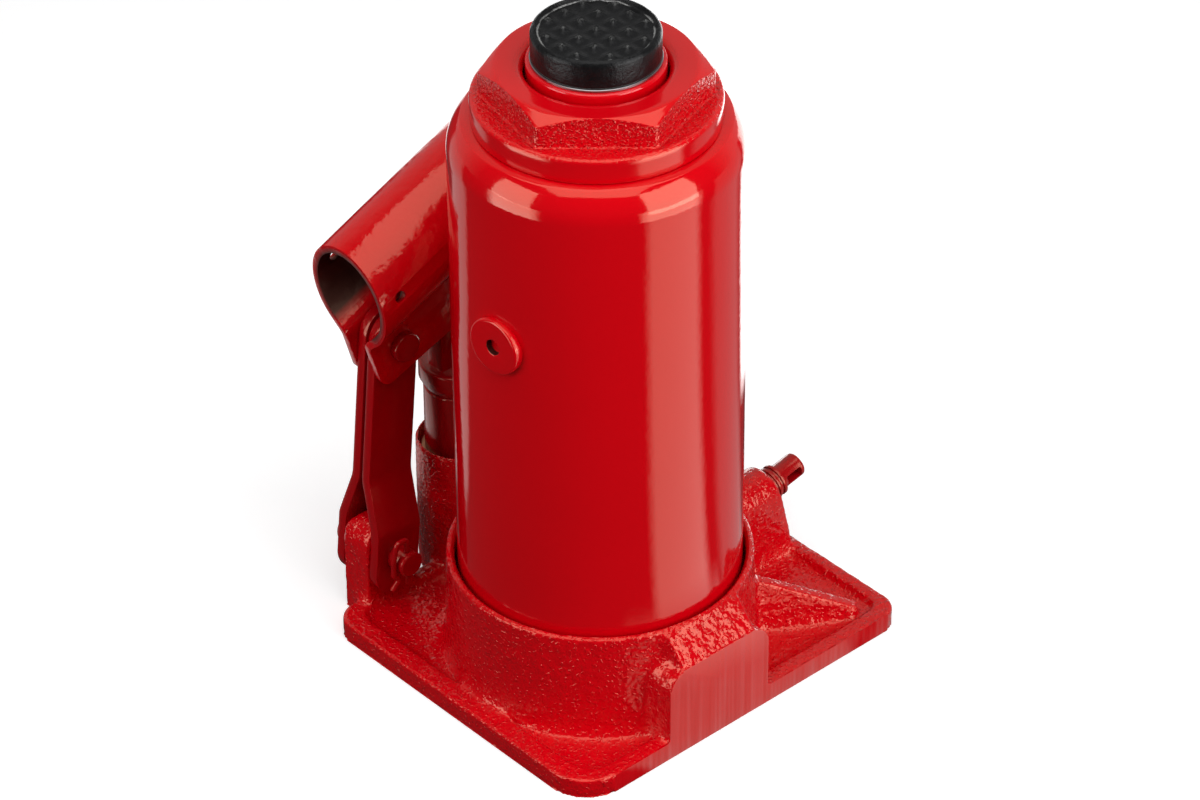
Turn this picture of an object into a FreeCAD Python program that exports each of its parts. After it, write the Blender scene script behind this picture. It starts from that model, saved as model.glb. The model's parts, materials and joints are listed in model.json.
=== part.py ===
"""Hydraulic bottle jack with a hand pump, 230 mm high when it is closed.

The origin is the middle of the base's underside, below the ram's axis. +Z is up, the milled pad
faces -Y, the release valve points to +X and the pump stands on the +Y side. Lengths are in mm,
angles in degrees. Every separate piece of the jack is written to its own STEP file.
"""
import FreeCAD, Part
import math
import os

Vec = FreeCAD.Vector
UP = Vec(0, 0, 1)

# ---------------------------------------------------------------- clearances
running_gap = 0.05        # radial, a shaft that turns or slides in its bore
thread_gap = 0.03         # radial, between two mating threads drawn plain
slide_gap = 0.2           # between plates that pass each other
seat_gap = 0.2            # where a moving piece stands on its stop
cut_margin = 1.0          # how far a cut runs past the face that it opens
face_margin = 0.1         # how near a face an edge lies to be counted as on it

# ---------------------------------------------------------------- base casting
plate_left = 56.6         # from the ram's axis to the -X edge
plate_right = 79.6
plate_front = 54.7
plate_rear = 65.0
plate_height = 6.8
pocket_floor = 4.2        # height of the floor of the cast pockets
rim_left = 7.6            # width of the raised rim round the plate
rim_front = 5.8
rim_right = 5.2
rim_rear = 6.0
corner_front_left = 14.6
corner_front_right = 7.4
corner_rear_right = 9.0
corner_rear_left = 9.0
pocket_corner = 5.0

reservoir_floor = 28.0    # floor inside the collar, under the tank
chamber_floor = 11.0      # bottom of the pressure chamber
chamber_radius = 19.0
cylinder_seat = 18.0      # ledge that the pressure cylinder is screwed down to
collar_top = 41.8
collar_wall = 2.8         # at the rim
collar_draft = 1.3        # how far the collar spreads from its rim to its foot
collar_chamfer = 1.2
collar_rim_rounding = 1.0
tank_gap = 0.9            # between the tank and the collar

pad_half_width = 20.9
pad_top = 31.8
pad_corner = 8.0
pad_ledge_half_width = 15.3
pad_ledge_run = 7.2       # how far the sloping ledge runs back from the milled face

rib_start = (40.4, -25.7)
rib_end = (68.2, -45.7)
rib_start_top = 23.0
rib_end_top = 8.4
rib_crest = 4.5
rib_spread = 4.0          # how far each side of the rib spreads towards its foot

# ---------------------------------------------------------------- reservoir tank
tank_od = 88.9
tank_wall = 2.5
tank_top = 199.8
tank_shoulder_height = 10.3
tank_shoulder_radius = 14.3
tank_mouth_radius = 35.0
gasket_height = 1.5
upper_gasket_height = 1.0
upper_gasket_width = 1.6
filler_height = 141.2
filler_turn = 6.0         # of the filler from the -X side towards the front
filler_hole_radius = 6.5
filler_head_radius = 9.3
filler_head_height = 0.8
filler_seal_height = 1.2  # outside the tank
filler_seal_root = 3.0    # how deep the seal is drawn before the tank is cut from it
filler_stem_length = 7.5
filler_dimple_radius = 2.5
filler_dimple_depth = 4.0
filler_tip_rounding = 1.0
filler_dimple_rounding = 0.3

# ---------------------------------------------------------------- pressure cylinder and top nut
cylinder_od = 54.0
cylinder_bore = 46.0
cylinder_top = 197.8
cylinder_washer_height = 1.5
cylinder_washer_gap = 0.3     # radial, to the bore
nut_flange_overhang = 2.4 # radial, of the nut's flange past the tank's mouth
nut_flange_height = 8.4
nut_across_flats = 60.8
nut_hex_height = 9.7
nut_hex_turn = 48.0       # direction of one hex face's normal, measured from +X
nut_flat_radius = 30.0    # radius where the nut's top chamfer starts
nut_chamfer_slope = 34.0
nut_skirt_gap = 1.6       # radial, between the nut's skirt and the tank's mouth
nut_skirt_length = 17.0
nut_skirt_rounding = 1.0
nut_flange_rounding = 1.2
nut_root = 1.5            # how deep the hexagon is drawn into the flange
nut_mouth_radius = 22.95
nut_mouth_countersink = 1.6
nut_lip_gap = 0.6         # radial, between the ram and the nut's lip over the wiper
wiper_seat = 203.5
wiper_height = 5.0
wiper_edge = 1.5

# ---------------------------------------------------------------- ram, screw and saddle
ram_od = 41.6
ram_top = 219.8
ram_chamfer = 0.9
ram_mouth_rounding = 0.4
stroke = 150.0
cup_washer_height = 1.8
cup_washer_radius = 22.4
cup_height = 5.0
cup_lip_width = 2.2
cup_lip_height = 1.2
piston_bolt_radius = 8.0
piston_nut_across_flats = 24.0
piston_nut_height = 5.8
wear_ring_height = 6.0
wear_ring_depth = 2.0
wear_ring_drop = 9.0      # from the top of the piston land to the ring

screw_od = 30.0
screw_travel = 80.0
screw_engagement = 26.0   # length of the ram's internal thread
screw_neck_height = 1.5
screw_neck_depth = 1.0
ram_cavity_radius = 17.0
ram_cavity_floor = 104.0
stop_ring_height = 4.0
stop_ring_gap = 0.4       # between the stop ring and the ram's cavity
stop_ring_wall = 4.0
screw_end_height = 1.2
screw_end_width = 1.5
screw_end_rounding = 0.5
screw_collar_radius = 19.6
screw_collar_height = 0.9
spigot_radius = 9.0
spigot_height = 4.0
spigot_rounding = 0.6
saddle_radius = 19.3
saddle_height = 9.3
saddle_edge = 2.6
saddle_pitch = 6.7        # between the raised pyramids of its top
saddle_tooth_height = 1.3
saddle_groove_width = 1.6
saddle_foot_rounding = 0.5
saddle_flank_share = 0.6  # of half a tooth, which slopes down to the groove

# ---------------------------------------------------------------- pump
pump_y = 66.3
pump_boss_radius = 14.6
pump_boss_top = 48.7
pump_boss_rounding = 1.2
pump_recess_radius = 13.3
pump_recess_floor = 43.7
pump_web_half_width = 11.0
pump_web_top = 36.0
pump_web_overlap = 5.0    # of the web inside the collar's bore, before it is bored
pump_barrel_radius = 11.3
pump_thread_radius = 9.0
pump_barrel_top = 69.6
pump_barrel_rounding = 0.8
pump_washer_height = 1.2
pump_washer_radius = 12.4
pump_seal_radius = 8.5
pump_seal_height = 5.0
pump_gland_height = 5.0
plunger_radius = 6.0
plunger_bottom = 24.2
pump_bore_bottom = 22.0
plunger_head_radius = 12.7
plunger_head_height = 9.0
plunger_head_chamfer = 1.6     # across; it is twice as high
plunger_head_rounding = 1.0
tongue_half_width = 9.5
tongue_thickness = 6.7
tongue_corner = 4.0
tongue_head = 10.0        # from the pin's axis to the top of the tongue
slot_play_x = 1.0         # beyond the pin's radius, sideways
slot_play_z = 0.6         # beyond the pin's radius, up and down

# ---------------------------------------------------------------- valves in the base
ball_chamber_floor = 8.0
ball_chamber_top = 13.0
ball_chamber_radius = 3.6
suction_ball_radius = 3.0
seat_hole_radius = 2.2
suction_gallery_height = 5.0
suction_gallery_radius = 1.8
suction_riser_y = 36.0
gallery_plug_radius = 3.6
gallery_plug_length = 6.0
gallery_plug_inset = 0.8
gallery_slot_width = 1.0
gallery_slot_depth = 1.2
strainer_radius = 4.0
strainer_height = 1.2
strainer_hole_radius = 0.8
strainer_hole_place = 2.4
strainer_holes = 6
check_ball_radius = 2.5
check_chamber_radius = 3.2
check_hole_radius = 1.5
check_plug_radius = 4.2
check_plug_height = 6.0
check_plug_bottom = 24.5
check_slot_width = 1.2
check_slot_depth = 1.6
drilling_radius = 1.2
drilling_land = 0.6       # between the pressure way and the delivery seat's hole
delivery_x = 10.0
delivery_y = 33.0
delivery_seat = 13.0
overload_x = -33.0
overload_seat = 15.0
spring_radius = 2.0
spring_wire = 0.8
spring_turns = 4
ball_lift = 0.02          # drawn between a ball and the edge that it seats on

# ---------------------------------------------------------------- release valve
valve_face = 71.6         # X of the boss's outer face, at the spindle
valve_height = 27.6       # height of the spindle's axis at that face
valve_tilt = 11.5
valve_boss_radius = 8.3
valve_boss_foot = 77.0
valve_boss_draft = 0.5    # of its outer face, up to the plate's top
valve_boss_lean = 2.0     # of its outer face, above the spindle
spindle_radius = 4.1
spindle_thread_radius = 5.4
spindle_thread_end = 4.6  # the thread's outer end, from the boss's face
spindle_thread_depth = 14.0    # its inner end, from the boss's face
spindle_end = 14.0        # from the boss's face to the spindle's outer tip
spindle_inner = 32.0      # from the boss's face to the spindle's inner tip
spindle_cone = 3.0
spindle_tip_radius = 0.8
spindle_relief = 0.6      # radial, of the shank inside the seal's land
spindle_land = 2.0        # of full radius inside the seal
spindle_end_rounding = 1.2
spindle_groove_depth = 0.7
spindle_groove_width = 1.0
spindle_groove_pitch = 2.0
spindle_groove_start = 0.5
spindle_grooves = 2
spindle_slot_width = 3.6
spindle_slot_length = 6.0
spindle_slot_inset = 1.8  # from the slot to the outer tip
o_ring_height = 2.4
o_ring_depth = 1.3
o_ring_place = 17.0       # from the boss's face, inwards
release_ball_radius = 2.5
release_hole_radius = 1.3
release_hole_overlap = 3.0     # of the hole into the pressure chamber
valve_bore_margin = 10.0  # how far the valve's bores run past the boss

# ---------------------------------------------------------------- pump linkage
anchor_x = -35.2
anchor_z = 23.5
fulcrum_x = -27.9
fulcrum_z = 100.0
plunger_pin_z = 109.5
anchor_pin_radius = 4.35
anchor_pin_head_radius = 6.5
anchor_pin_head = 2.5
anchor_pin_reach = 7.0    # how far the pin stands out of the front link
anchor_pin_chamfer = 0.5
fulcrum_pin_radius = 4.2
fulcrum_pin_head_radius = 4.9
fulcrum_pin_head = 2.8
plunger_pin_radius = 4.0
plunger_pin_head_radius = 5.5
plunger_pin_head = 1.8
pin_head_rounding = 0.6
pin_tail = 3.0            # length of a pin beyond the cheek on its clip's side
e_clip_radius = 6.6
e_clip_height = 1.0
e_clip_groove = 0.6
e_clip_pinch = 0.3        # how much narrower its mouth is than the groove, each side

link_width = 17.2
link_thickness = 3.5
link_gap_top = 1.3        # between the two links at their upper ends
link_lower_end = 13.6
link_upper_end = 10.2
joggle_start = 9.6        # above the anchor pin, along the link
joggle_length = 17.3
joggle_bend = 9.0

lug_thickness = 12.2
lug_half_width = 9.6
lug_top = 35.5
lug_flat = 1.0            # half the flat that is left on the lug's round top
socket_sheet = 2.45
socket_od = 34.2
socket_slope = 23.3
socket_mouth_x = -42.7
socket_mouth_z = 121.4    # height of the barrel's axis at the mouth
socket_length = 96.0
socket_neck_angle = 50.0  # where the barrel's round runs out into the necks of the cheeks
socket_neck_bend = 3.0
socket_seam_drop = 15.6   # from the barrel's axis down to its trimmed edges, behind the cheeks
socket_mouth_tilt = 6.1   # of the mouth's edge from upright
cross_hole_radius = 2.0
cross_hole_x = -36.1
cross_hole_rise = 2.6     # of the small cross hole above the barrel's axis
cheek_shoulder = 4.5      # from the fulcrum up to the corner under the mouth
cheek_toe_back = 7.9      # from the fulcrum to the corner of the lower edge
cheek_toe_drop = 13.2
cheek_toe_corner = 4.0
cheek_lobe = 9.7          # from both pins to the lower edge
cheek_run_out = 62.0      # from the mouth, along the barrel, to the end of the cheeks
cheek_fillet = 8.0

clip_wire = 1.84
clip_bend = 1.2
clip_loop_width = 4.0     # to the wire's centre lines
clip_loop_height = 8.9
clip_leg = 8.2
clip_inset = 2.5          # from the pin's end to the clip
clip_side_gap = 0.3       # between the outer leg and the pin
clip_shoulder = 2.5       # above the pin's axis
clip_waist = 3.0          # below it
clip_knee = 5.0           # below it
clip_flare = 3.2
clip_toe = 1.0
clip_hole_gap = 0.08

# ---------------------------------------------------------------- sizes that follow
tank_radius = tank_od / 2
collar_bore = tank_radius + tank_gap
collar_rim_radius = collar_bore + collar_wall
collar_foot_radius = collar_rim_radius + collar_draft
tank_bottom = reservoir_floor + gasket_height
cylinder_radius = cylinder_od / 2
bore_radius = cylinder_bore / 2
cylinder_bottom = cylinder_seat + cylinder_washer_height
nut_flange_top = tank_top + nut_flange_height
nut_top = nut_flange_top + nut_hex_height
nut_skirt_radius = tank_mouth_radius - nut_skirt_gap
nut_flange_radius = tank_mouth_radius + nut_flange_overhang
ram_radius = ram_od / 2
nut_lip_radius = ram_radius + nut_lip_gap
wiper_top = wiper_seat + wiper_height
ram_rest = cylinder_seat + seat_gap
cup_bottom = ram_rest + cup_washer_height
land_bottom = cup_bottom + cup_height
land_top = cylinder_top - stroke
land_radius = bore_radius - running_gap
screw_radius = screw_od / 2
screw_top = ram_top + screw_collar_height
saddle_top = screw_top + saddle_height
thread_bottom = ram_top - ram_chamfer - screw_engagement
stop_ring_top = thread_bottom - screw_travel - seat_gap
cheek_inner = link_gap_top / 2 + link_thickness + slide_gap
cheek_outer = cheek_inner + socket_sheet
link_gap_bottom = lug_thickness + 2 * slide_gap
link_outer_bottom = link_gap_bottom / 2 + link_thickness
link_outer_top = link_gap_top / 2 + link_thickness
link_length = math.hypot(fulcrum_x - anchor_x, fulcrum_z - anchor_z)
link_lean = math.degrees(math.atan2(fulcrum_x - anchor_x, fulcrum_z - anchor_z))
socket_radius = socket_od / 2
socket_bore = socket_radius - socket_sheet
filler_way = Vec(-math.cos(math.radians(filler_turn)), -math.sin(math.radians(filler_turn)), 0)
anchor = Vec(anchor_x, pump_y, anchor_z)
fulcrum = Vec(fulcrum_x, pump_y, fulcrum_z)


# ---------------------------------------------------------------- shape helpers
def on_plane(plane, a, b, offset):
    """Point (a, b) of the XY, XZ or YZ plane, moved out of the plane by offset."""
    if plane == "XY":
        return Vec(a, b, offset)
    if plane == "XZ":
        return Vec(a, offset, b)
    return Vec(offset, a, b)


def rounded_face(corners, plane, offset):
    """Face inside a polygon whose corners are (a, b) or (a, b, rounding radius)."""
    points = [on_plane(plane, corner[0], corner[1], offset) for corner in corners]
    radii = [corner[2] if len(corner) > 2 else 0.0 for corner in corners]
    stretches = []
    for index, point in enumerate(points):
        to_last = (points[index - 1] - point).normalize()
        to_next = (points[(index + 1) % len(points)] - point).normalize()
        if radii[index] == 0.0:
            stretches.append((point, point, point))
            continue
        half = to_last.getAngle(to_next) / 2
        back = radii[index] / math.tan(half)
        middle = (to_last + to_next).normalize()
        near = radii[index] / math.sin(half) - radii[index]
        stretches.append((point + to_last * back, point + middle * near, point + to_next * back))
    edges = []
    for index, (start, through, end) in enumerate(stretches):
        if start != end:
            edges.append(Part.Arc(start, through, end).toShape())
        following = stretches[(index + 1) % len(stretches)][0]
        if (following - end).Length > 1e-6:
            edges.append(Part.LineSegment(end, following).toShape())
    return Part.Face(Part.Wire(edges))


def prism(corners, plane, low, high):
    """Rounded polygon of a plane, drawn out from offset low to offset high."""
    face = rounded_face(corners, plane, low)
    return face.extrude(on_plane(plane, 0, 0, high - low))


def lathe(profile, x=0.0, y=0.0):
    """Solid turned about the vertical line through (x, y) from corners (radius, height[, rounding])."""
    face = rounded_face(profile, "XZ", 0.0)
    turned = face.revolve(Vec(0, 0, 0), UP, 360)
    turned.translate(Vec(x, y, 0))
    return turned


def ring(inner, outer, low, high, x=0.0, y=0.0):
    """Upright ring with a square section."""
    return lathe([(inner, low), (outer, low), (outer, high), (inner, high)], x, y)


def post(radius, low, high, x=0.0, y=0.0):
    """Upright cylinder."""
    return Part.makeCylinder(radius, high - low, Vec(x, y, low), UP)


def cross_pin(radius, x, z, low, high):
    """Cylinder along Y."""
    return Part.makeCylinder(radius, high - low, Vec(x, low, z), Vec(0, 1, 0))


def drilling(radius, start, end):
    """Straight round hole between two points."""
    way = end - start
    return Part.makeCylinder(radius, way.Length, start, way)


def ball_on_hole(ball_radius, hole_radius, seat, x, y):
    """Ball that stands on the edge of an upright hole."""
    centre = seat + math.sqrt(ball_radius ** 2 - hole_radius ** 2) + ball_lift
    return Part.makeSphere(ball_radius, Vec(x, y, centre))


def hexagon(across_flats, turn):
    """Corners of a hexagon, one of whose faces looks in the direction turn."""
    reach = across_flats / 2 / math.cos(math.radians(30))
    angles = [math.radians(turn + 30 + 60 * side) for side in range(6)]
    return [(reach * math.cos(angle), reach * math.sin(angle)) for angle in angles]


def mirrored_in_y(shape):
    """The same shape on the other side of the pump's middle plane."""
    return shape.mirror(Vec(0, pump_y, 0), Vec(0, 1, 0))


def turned_about(shape, centre, degrees):
    """Turn a shape in the XZ plane, positive from +X towards +Z."""
    turned = shape.copy()
    turned.rotate(centre, Vec(0, -1, 0), degrees)
    return turned


def save(name, shape):
    """Write one piece and say what it is."""
    shape = shape.removeSplitter()
    shape.exportStep("parts/" + name + ".step")
    print(name, len(shape.Solids), "solid(s)", round(shape.Volume / 1000, 3), "cm3")


# ---------------------------------------------------------------- base casting
def plate_corners(left, right, front, rear, radii):
    """Outline of a plate with four corner radii, from the front left round to the rear left."""
    return [(-left, -front, radii[0]), (right, -front, radii[1]),
            (right, rear, radii[2]), (-left, rear, radii[3])]


def base_plate():
    """Foot plate with a raised rim and cast pockets."""
    radii = (corner_front_left, corner_front_right, corner_rear_right, corner_rear_left)
    plate = prism(plate_corners(plate_left, plate_right, plate_front, plate_rear, radii),
                  "XY", 0.0, plate_height)
    inner = [max(radius - rim_front, pocket_corner) for radius in radii]
    pocket = prism(plate_corners(plate_left - rim_left, plate_right - rim_right,
                                 plate_front - rim_front, plate_rear - rim_rear, inner),
                   "XY", pocket_floor, plate_height)
    return plate.cut(pocket)


def front_pad():
    """Milled pad in the front edge and the ledge that slopes from it to the collar."""
    back = -collar_bore
    block = prism([(-pad_half_width, 0), (pad_half_width, 0), (pad_half_width, pad_top, pad_corner),
                   (-pad_half_width, pad_top, pad_corner)], "XZ", -plate_front, back)
    ledge = prism([(-plate_front, pad_top - pad_corner), (-plate_front, pad_top),
                   (-plate_front + pad_ledge_run, collar_top - collar_chamfer),
                   (back, collar_top - collar_chamfer), (back, pad_top - pad_corner)],
                  "YZ", -pad_ledge_half_width, pad_ledge_half_width)
    return block.fuse(ledge)


def corner_rib():
    """Rib that runs down from the collar to the front right corner of the rim."""
    along = Vec(rib_end[0] - rib_start[0], rib_end[1] - rib_start[1], 0).normalize()
    across = Vec(-along.y, along.x, 0)
    sections = []
    for place, top in ((rib_start, rib_start_top), (rib_end, rib_end_top)):
        middle = Vec(place[0], place[1], 0)
        spread = rib_spread * (top - pocket_floor) / (rib_start_top - pocket_floor)
        foot = across * (rib_crest / 2 + spread)
        crest = across * (rib_crest / 2)
        low = Vec(0, 0, pocket_floor / 2)
        high = Vec(0, 0, top)
        corners = [middle - foot + low, middle + foot + low, middle + crest + high,
                   middle - crest + high]
        sections.append(Part.makePolygon(corners + corners[:1]))
    return Part.makeLoft(sections, True, True)


def valve_boss():
    """Round-topped boss that carries the release valve, with a sloping outer face."""
    tunnel = prism([(-valve_boss_radius, 0), (valve_boss_radius, 0),
                    (valve_boss_radius, valve_height + valve_boss_radius, valve_boss_radius),
                    (-valve_boss_radius, valve_height + valve_boss_radius, valve_boss_radius)],
                   "YZ", chamber_radius, valve_boss_foot)
    crown = valve_height + valve_boss_radius
    side = prism([(chamber_radius, 0), (valve_boss_foot, 0),
                  (valve_boss_foot - valve_boss_draft, plate_height), (valve_face, valve_height),
                  (valve_face - valve_boss_lean, crown), (chamber_radius, crown)],
                 "XZ", -valve_boss_radius, valve_boss_radius)
    return tunnel.common(side)


def anchor_lug():
    """Upright lug between the feet of the two links."""
    low = pump_y - lug_thickness / 2
    lug = prism([(anchor_x - lug_half_width, 0), (anchor_x + lug_half_width, 0),
                 (anchor_x + lug_half_width, lug_top, lug_half_width - lug_flat),
                 (anchor_x - lug_half_width, lug_top, lug_half_width - lug_flat)],
                "XZ", low, low + lug_thickness)
    thinned = prism([(low, 0), (low + lug_thickness, 0),
                     (low + lug_thickness, lug_top, lug_thickness / 2 - lug_flat),
                     (low, lug_top, lug_thickness / 2 - lug_flat)],
                    "YZ", anchor_x - lug_half_width, anchor_x + lug_half_width)
    lug = lug.common(thinned)
    return lug.cut(cross_pin(anchor_pin_radius + running_gap, anchor_x, anchor_z,
                             low, low + lug_thickness))


def pump_boss():
    """Boss that the pump is screwed into, with its web to the collar."""
    boss = lathe([(0, 0), (pump_boss_radius, 0), (pump_boss_radius, pump_boss_top, pump_boss_rounding),
                  (pump_recess_radius, pump_boss_top), (pump_recess_radius, pump_recess_floor),
                  (0, pump_recess_floor)], 0, pump_y)
    start = collar_bore - pump_web_overlap
    web = prism([(-pump_web_half_width, start), (pump_web_half_width, start),
                 (pump_web_half_width, pump_y), (-pump_web_half_width, pump_y)],
                "XY", 0, pump_web_top)
    return boss.fuse(web)


def spindle_axis(distance):
    """Point on the release valve's axis, distance outwards from the boss's face."""
    tilt = math.radians(valve_tilt)
    return Vec(valve_face + distance * math.cos(tilt), 0, valve_height + distance * math.sin(tilt))


def base_drillings():
    """Everything that is bored into the casting: the seats, chambers and oil ways."""
    top = collar_top + cut_margin
    pump = Vec(0, pump_y, 0)
    ball_way = spindle_axis(-spindle_inner - release_ball_radius * 2)
    release_way = spindle_axis(-spindle_inner - release_ball_radius)
    delivery = Vec(delivery_x, delivery_y, 0)
    riser = Vec(0, suction_riser_y, 0)
    low_way = Vec(0, 0, delivery_seat - check_hole_radius - drilling_radius - drilling_land)
    valve_mouth = spindle_axis(valve_bore_margin)
    boss_back = pump_y + pump_boss_radius + cut_margin
    cuts = [
        lathe([(0, reservoir_floor), (collar_bore, reservoir_floor),
               (collar_bore, collar_top - collar_chamfer),
               (collar_bore + collar_chamfer, collar_top), (collar_bore + collar_chamfer, top),
               (0, top)]),
        post(cylinder_radius + thread_gap, cylinder_seat, top),
        post(chamber_radius, chamber_floor, top),
        post(pump_thread_radius + thread_gap, pump_bore_bottom, pump_boss_top, 0, pump_y),
        post(plunger_radius, ball_chamber_top, pump_boss_top, 0, pump_y),
        post(ball_chamber_radius, ball_chamber_floor, pump_boss_top, 0, pump_y),
        post(seat_hole_radius, suction_gallery_height, pump_boss_top, 0, pump_y),
        drilling(suction_gallery_radius, riser + UP * suction_gallery_height,
                 Vec(0, boss_back, suction_gallery_height)),
        drilling(gallery_plug_radius + thread_gap,
                 Vec(0, pump_y + pump_boss_radius - gallery_plug_length, suction_gallery_height),
                 Vec(0, boss_back, suction_gallery_height)),
        post(suction_gallery_radius, suction_gallery_height, top, 0, suction_riser_y),
        post(strainer_radius + thread_gap, reservoir_floor - strainer_height, top,
             0, suction_riser_y),
        drilling(drilling_radius, pump + low_way, delivery + low_way),
        post(check_hole_radius, low_way.z, top, delivery_x, delivery_y),
        drilling(drilling_radius, delivery + UP * (delivery_seat + check_ball_radius),
                 Vec(0, 0, delivery_seat + check_ball_radius)),
        drilling(drilling_radius, Vec(overload_x, 0, overload_seat - check_ball_radius),
                 Vec(0, 0, overload_seat - check_ball_radius)),
        post(check_hole_radius, overload_seat - check_ball_radius, top, overload_x, 0),
        drilling(spindle_radius + running_gap, spindle_axis(-spindle_inner), valve_mouth),
        drilling(spindle_thread_radius + thread_gap, spindle_axis(-spindle_thread_depth - seat_gap),
                 valve_mouth),
        drilling(release_ball_radius + running_gap, ball_way, valve_mouth),
        drilling(release_hole_radius,
                 spindle_axis(chamber_radius - valve_face - release_hole_overlap), valve_mouth),
        drilling(drilling_radius, release_way, Vec(release_way.x, release_way.y, top)),
    ]
    for x, y, seat in ((delivery_x, delivery_y, delivery_seat), (overload_x, 0, overload_seat)):
        cuts.append(post(check_chamber_radius, seat, top, x, y))
        cuts.append(post(check_plug_radius + thread_gap, check_plug_bottom, top, x, y))
    return cuts


def base_casting():
    """One iron casting: plate, collar, pad, rib, bosses and lug, then all its bores."""
    collar = lathe([(0, 0), (collar_foot_radius, 0),
                    (collar_rim_radius, collar_top, collar_rim_rounding), (0, collar_top)])
    body = base_plate().fuse([collar, front_pad(), corner_rib(), valve_boss(), anchor_lug(),
                              pump_boss()])
    return body.cut(base_drillings())


# ---------------------------------------------------------------- tank and its fittings
def shoulder_radius_at(radius, middle, height):
    """Radius of a round shoulder, height above its start."""
    return middle + math.sqrt(radius ** 2 - height ** 2)


def shoulder_points(outer_radius, arc_radius, height):
    """Start, middle and end of the shoulder's arc, as (radius, height above the start)."""
    middle = outer_radius - arc_radius
    points = []
    for rise in (0.0, height / 2, height):
        points.append((shoulder_radius_at(arc_radius, middle, rise), rise))
    return points


def reservoir_tank():
    """Tube whose top is drawn in to a lip under the nut."""
    start = tank_top - tank_shoulder_height
    outer = shoulder_points(tank_radius, tank_shoulder_radius, tank_shoulder_height)
    inner = shoulder_points(tank_radius - tank_wall, tank_shoulder_radius - tank_wall,
                            tank_shoulder_height - tank_wall)
    outer = [Vec(radius, 0, start + rise) for radius, rise in outer]
    inner = [Vec(radius, 0, start + rise) for radius, rise in inner]
    mouth_top = Vec(tank_mouth_radius, 0, tank_top)
    mouth_low = Vec(tank_mouth_radius, 0, tank_top - tank_wall)
    bottom_out = Vec(tank_radius, 0, tank_bottom)
    bottom_in = Vec(tank_radius - tank_wall, 0, tank_bottom)
    edges = [
        Part.LineSegment(bottom_in, bottom_out), Part.LineSegment(bottom_out, outer[0]),
        Part.Arc(*outer), Part.LineSegment(outer[2], mouth_top),
        Part.LineSegment(mouth_top, mouth_low), Part.LineSegment(mouth_low, inner[2]),
        Part.Arc(inner[2], inner[1], inner[0]), Part.LineSegment(inner[0], bottom_in),
    ]
    face = Part.Face(Part.Wire([edge.toShape() for edge in edges]))
    tank = face.revolve(Vec(0, 0, 0), UP, 360)
    hole = Part.makeCylinder(filler_hole_radius, tank_radius, UP * filler_height, filler_way)
    return tank.cut(hole)


def tank_lower_gasket():
    """Flat ring under the tank."""
    return ring(tank_radius - tank_wall, tank_radius, reservoir_floor, tank_bottom)


def tank_upper_gasket():
    """Flat ring on the tank's lip, let into the nut's flange."""
    inner = tank_mouth_radius + seat_gap
    return ring(inner, inner + upper_gasket_width, tank_top, tank_top + upper_gasket_height)


def sideways(shape):
    """Stand a shape that was turned about Z on the tank's side, pointing out along the filler."""
    turned = shape.copy()
    turned.rotate(Vec(0, 0, 0), Vec(0, 1, 0), -90)
    turned.rotate(Vec(0, 0, 0), UP, filler_turn)
    turned.translate(UP * filler_height)
    return turned


def filler_seal():
    """Rubber ring between the plug's head and the curved tank."""
    outside = tank_radius + filler_seal_height
    blank = sideways(ring(filler_hole_radius + thread_gap, filler_head_radius,
                          tank_radius - filler_seal_root, outside))
    return blank.cut(post(tank_radius, tank_bottom, tank_top))


def filler_plug():
    """Push-in plug with a round-edged head and a dimple in it."""
    seat = tank_radius + filler_seal_height
    top = seat + filler_head_height
    inner = tank_radius - filler_stem_length
    stem = filler_hole_radius - running_gap
    profile = [(0, inner), (stem, inner, filler_tip_rounding), (stem, seat), (filler_head_radius, seat),
               (filler_head_radius, top, filler_head_height),
               (filler_dimple_radius, top, filler_dimple_rounding),
               (filler_dimple_radius, top - filler_dimple_depth), (0, top - filler_dimple_depth)]
    return sideways(lathe(profile))


# ---------------------------------------------------------------- pressure cylinder and nut
def cylinder_washer():
    """Copper ring under the pressure cylinder."""
    return ring(bore_radius + cylinder_washer_gap, cylinder_radius, cylinder_seat, cylinder_bottom)


def pressure_cylinder():
    """Honed tube that the ram runs in."""
    return ring(bore_radius, cylinder_radius, cylinder_bottom, cylinder_top)


def top_nut():
    """Flanged hexagon nut that closes the tank, guides the ram and covers the wiper with its lip."""
    skirt_bottom = tank_top - nut_skirt_length
    guide = ram_radius + running_gap
    gasket = tank_mouth_radius + 2 * seat_gap + upper_gasket_width
    turned = lathe([
        (cylinder_radius + thread_gap, skirt_bottom), (nut_skirt_radius, skirt_bottom, nut_skirt_rounding),
        (nut_skirt_radius, tank_top + upper_gasket_height),
        (gasket, tank_top + upper_gasket_height), (gasket, tank_top),
        (nut_flange_radius, tank_top), (nut_flange_radius, nut_flange_top, nut_flange_rounding),
        (nut_mouth_radius, nut_flange_top), (nut_mouth_radius, wiper_seat),
        (guide, wiper_seat), (guide, cylinder_top), (cylinder_radius + thread_gap, cylinder_top),
    ])
    reach = nut_across_flats / 2 / math.cos(math.radians(30)) + cut_margin
    drop = (reach - nut_flat_radius) * math.tan(math.radians(nut_chamfer_slope))
    root = nut_flange_top - nut_root
    groove_top = wiper_top + seat_gap
    crown = lathe([(nut_mouth_radius, root), (reach, root), (reach, nut_top - drop),
                   (nut_flat_radius, nut_top), (nut_mouth_radius, nut_top),
                   (nut_lip_radius, nut_top - nut_mouth_countersink), (nut_lip_radius, groove_top),
                   (nut_mouth_radius, groove_top)])
    flats = prism(hexagon(nut_across_flats, nut_hex_turn), "XY", root, nut_top)
    return turned.fuse(crown.common(flats))


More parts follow.
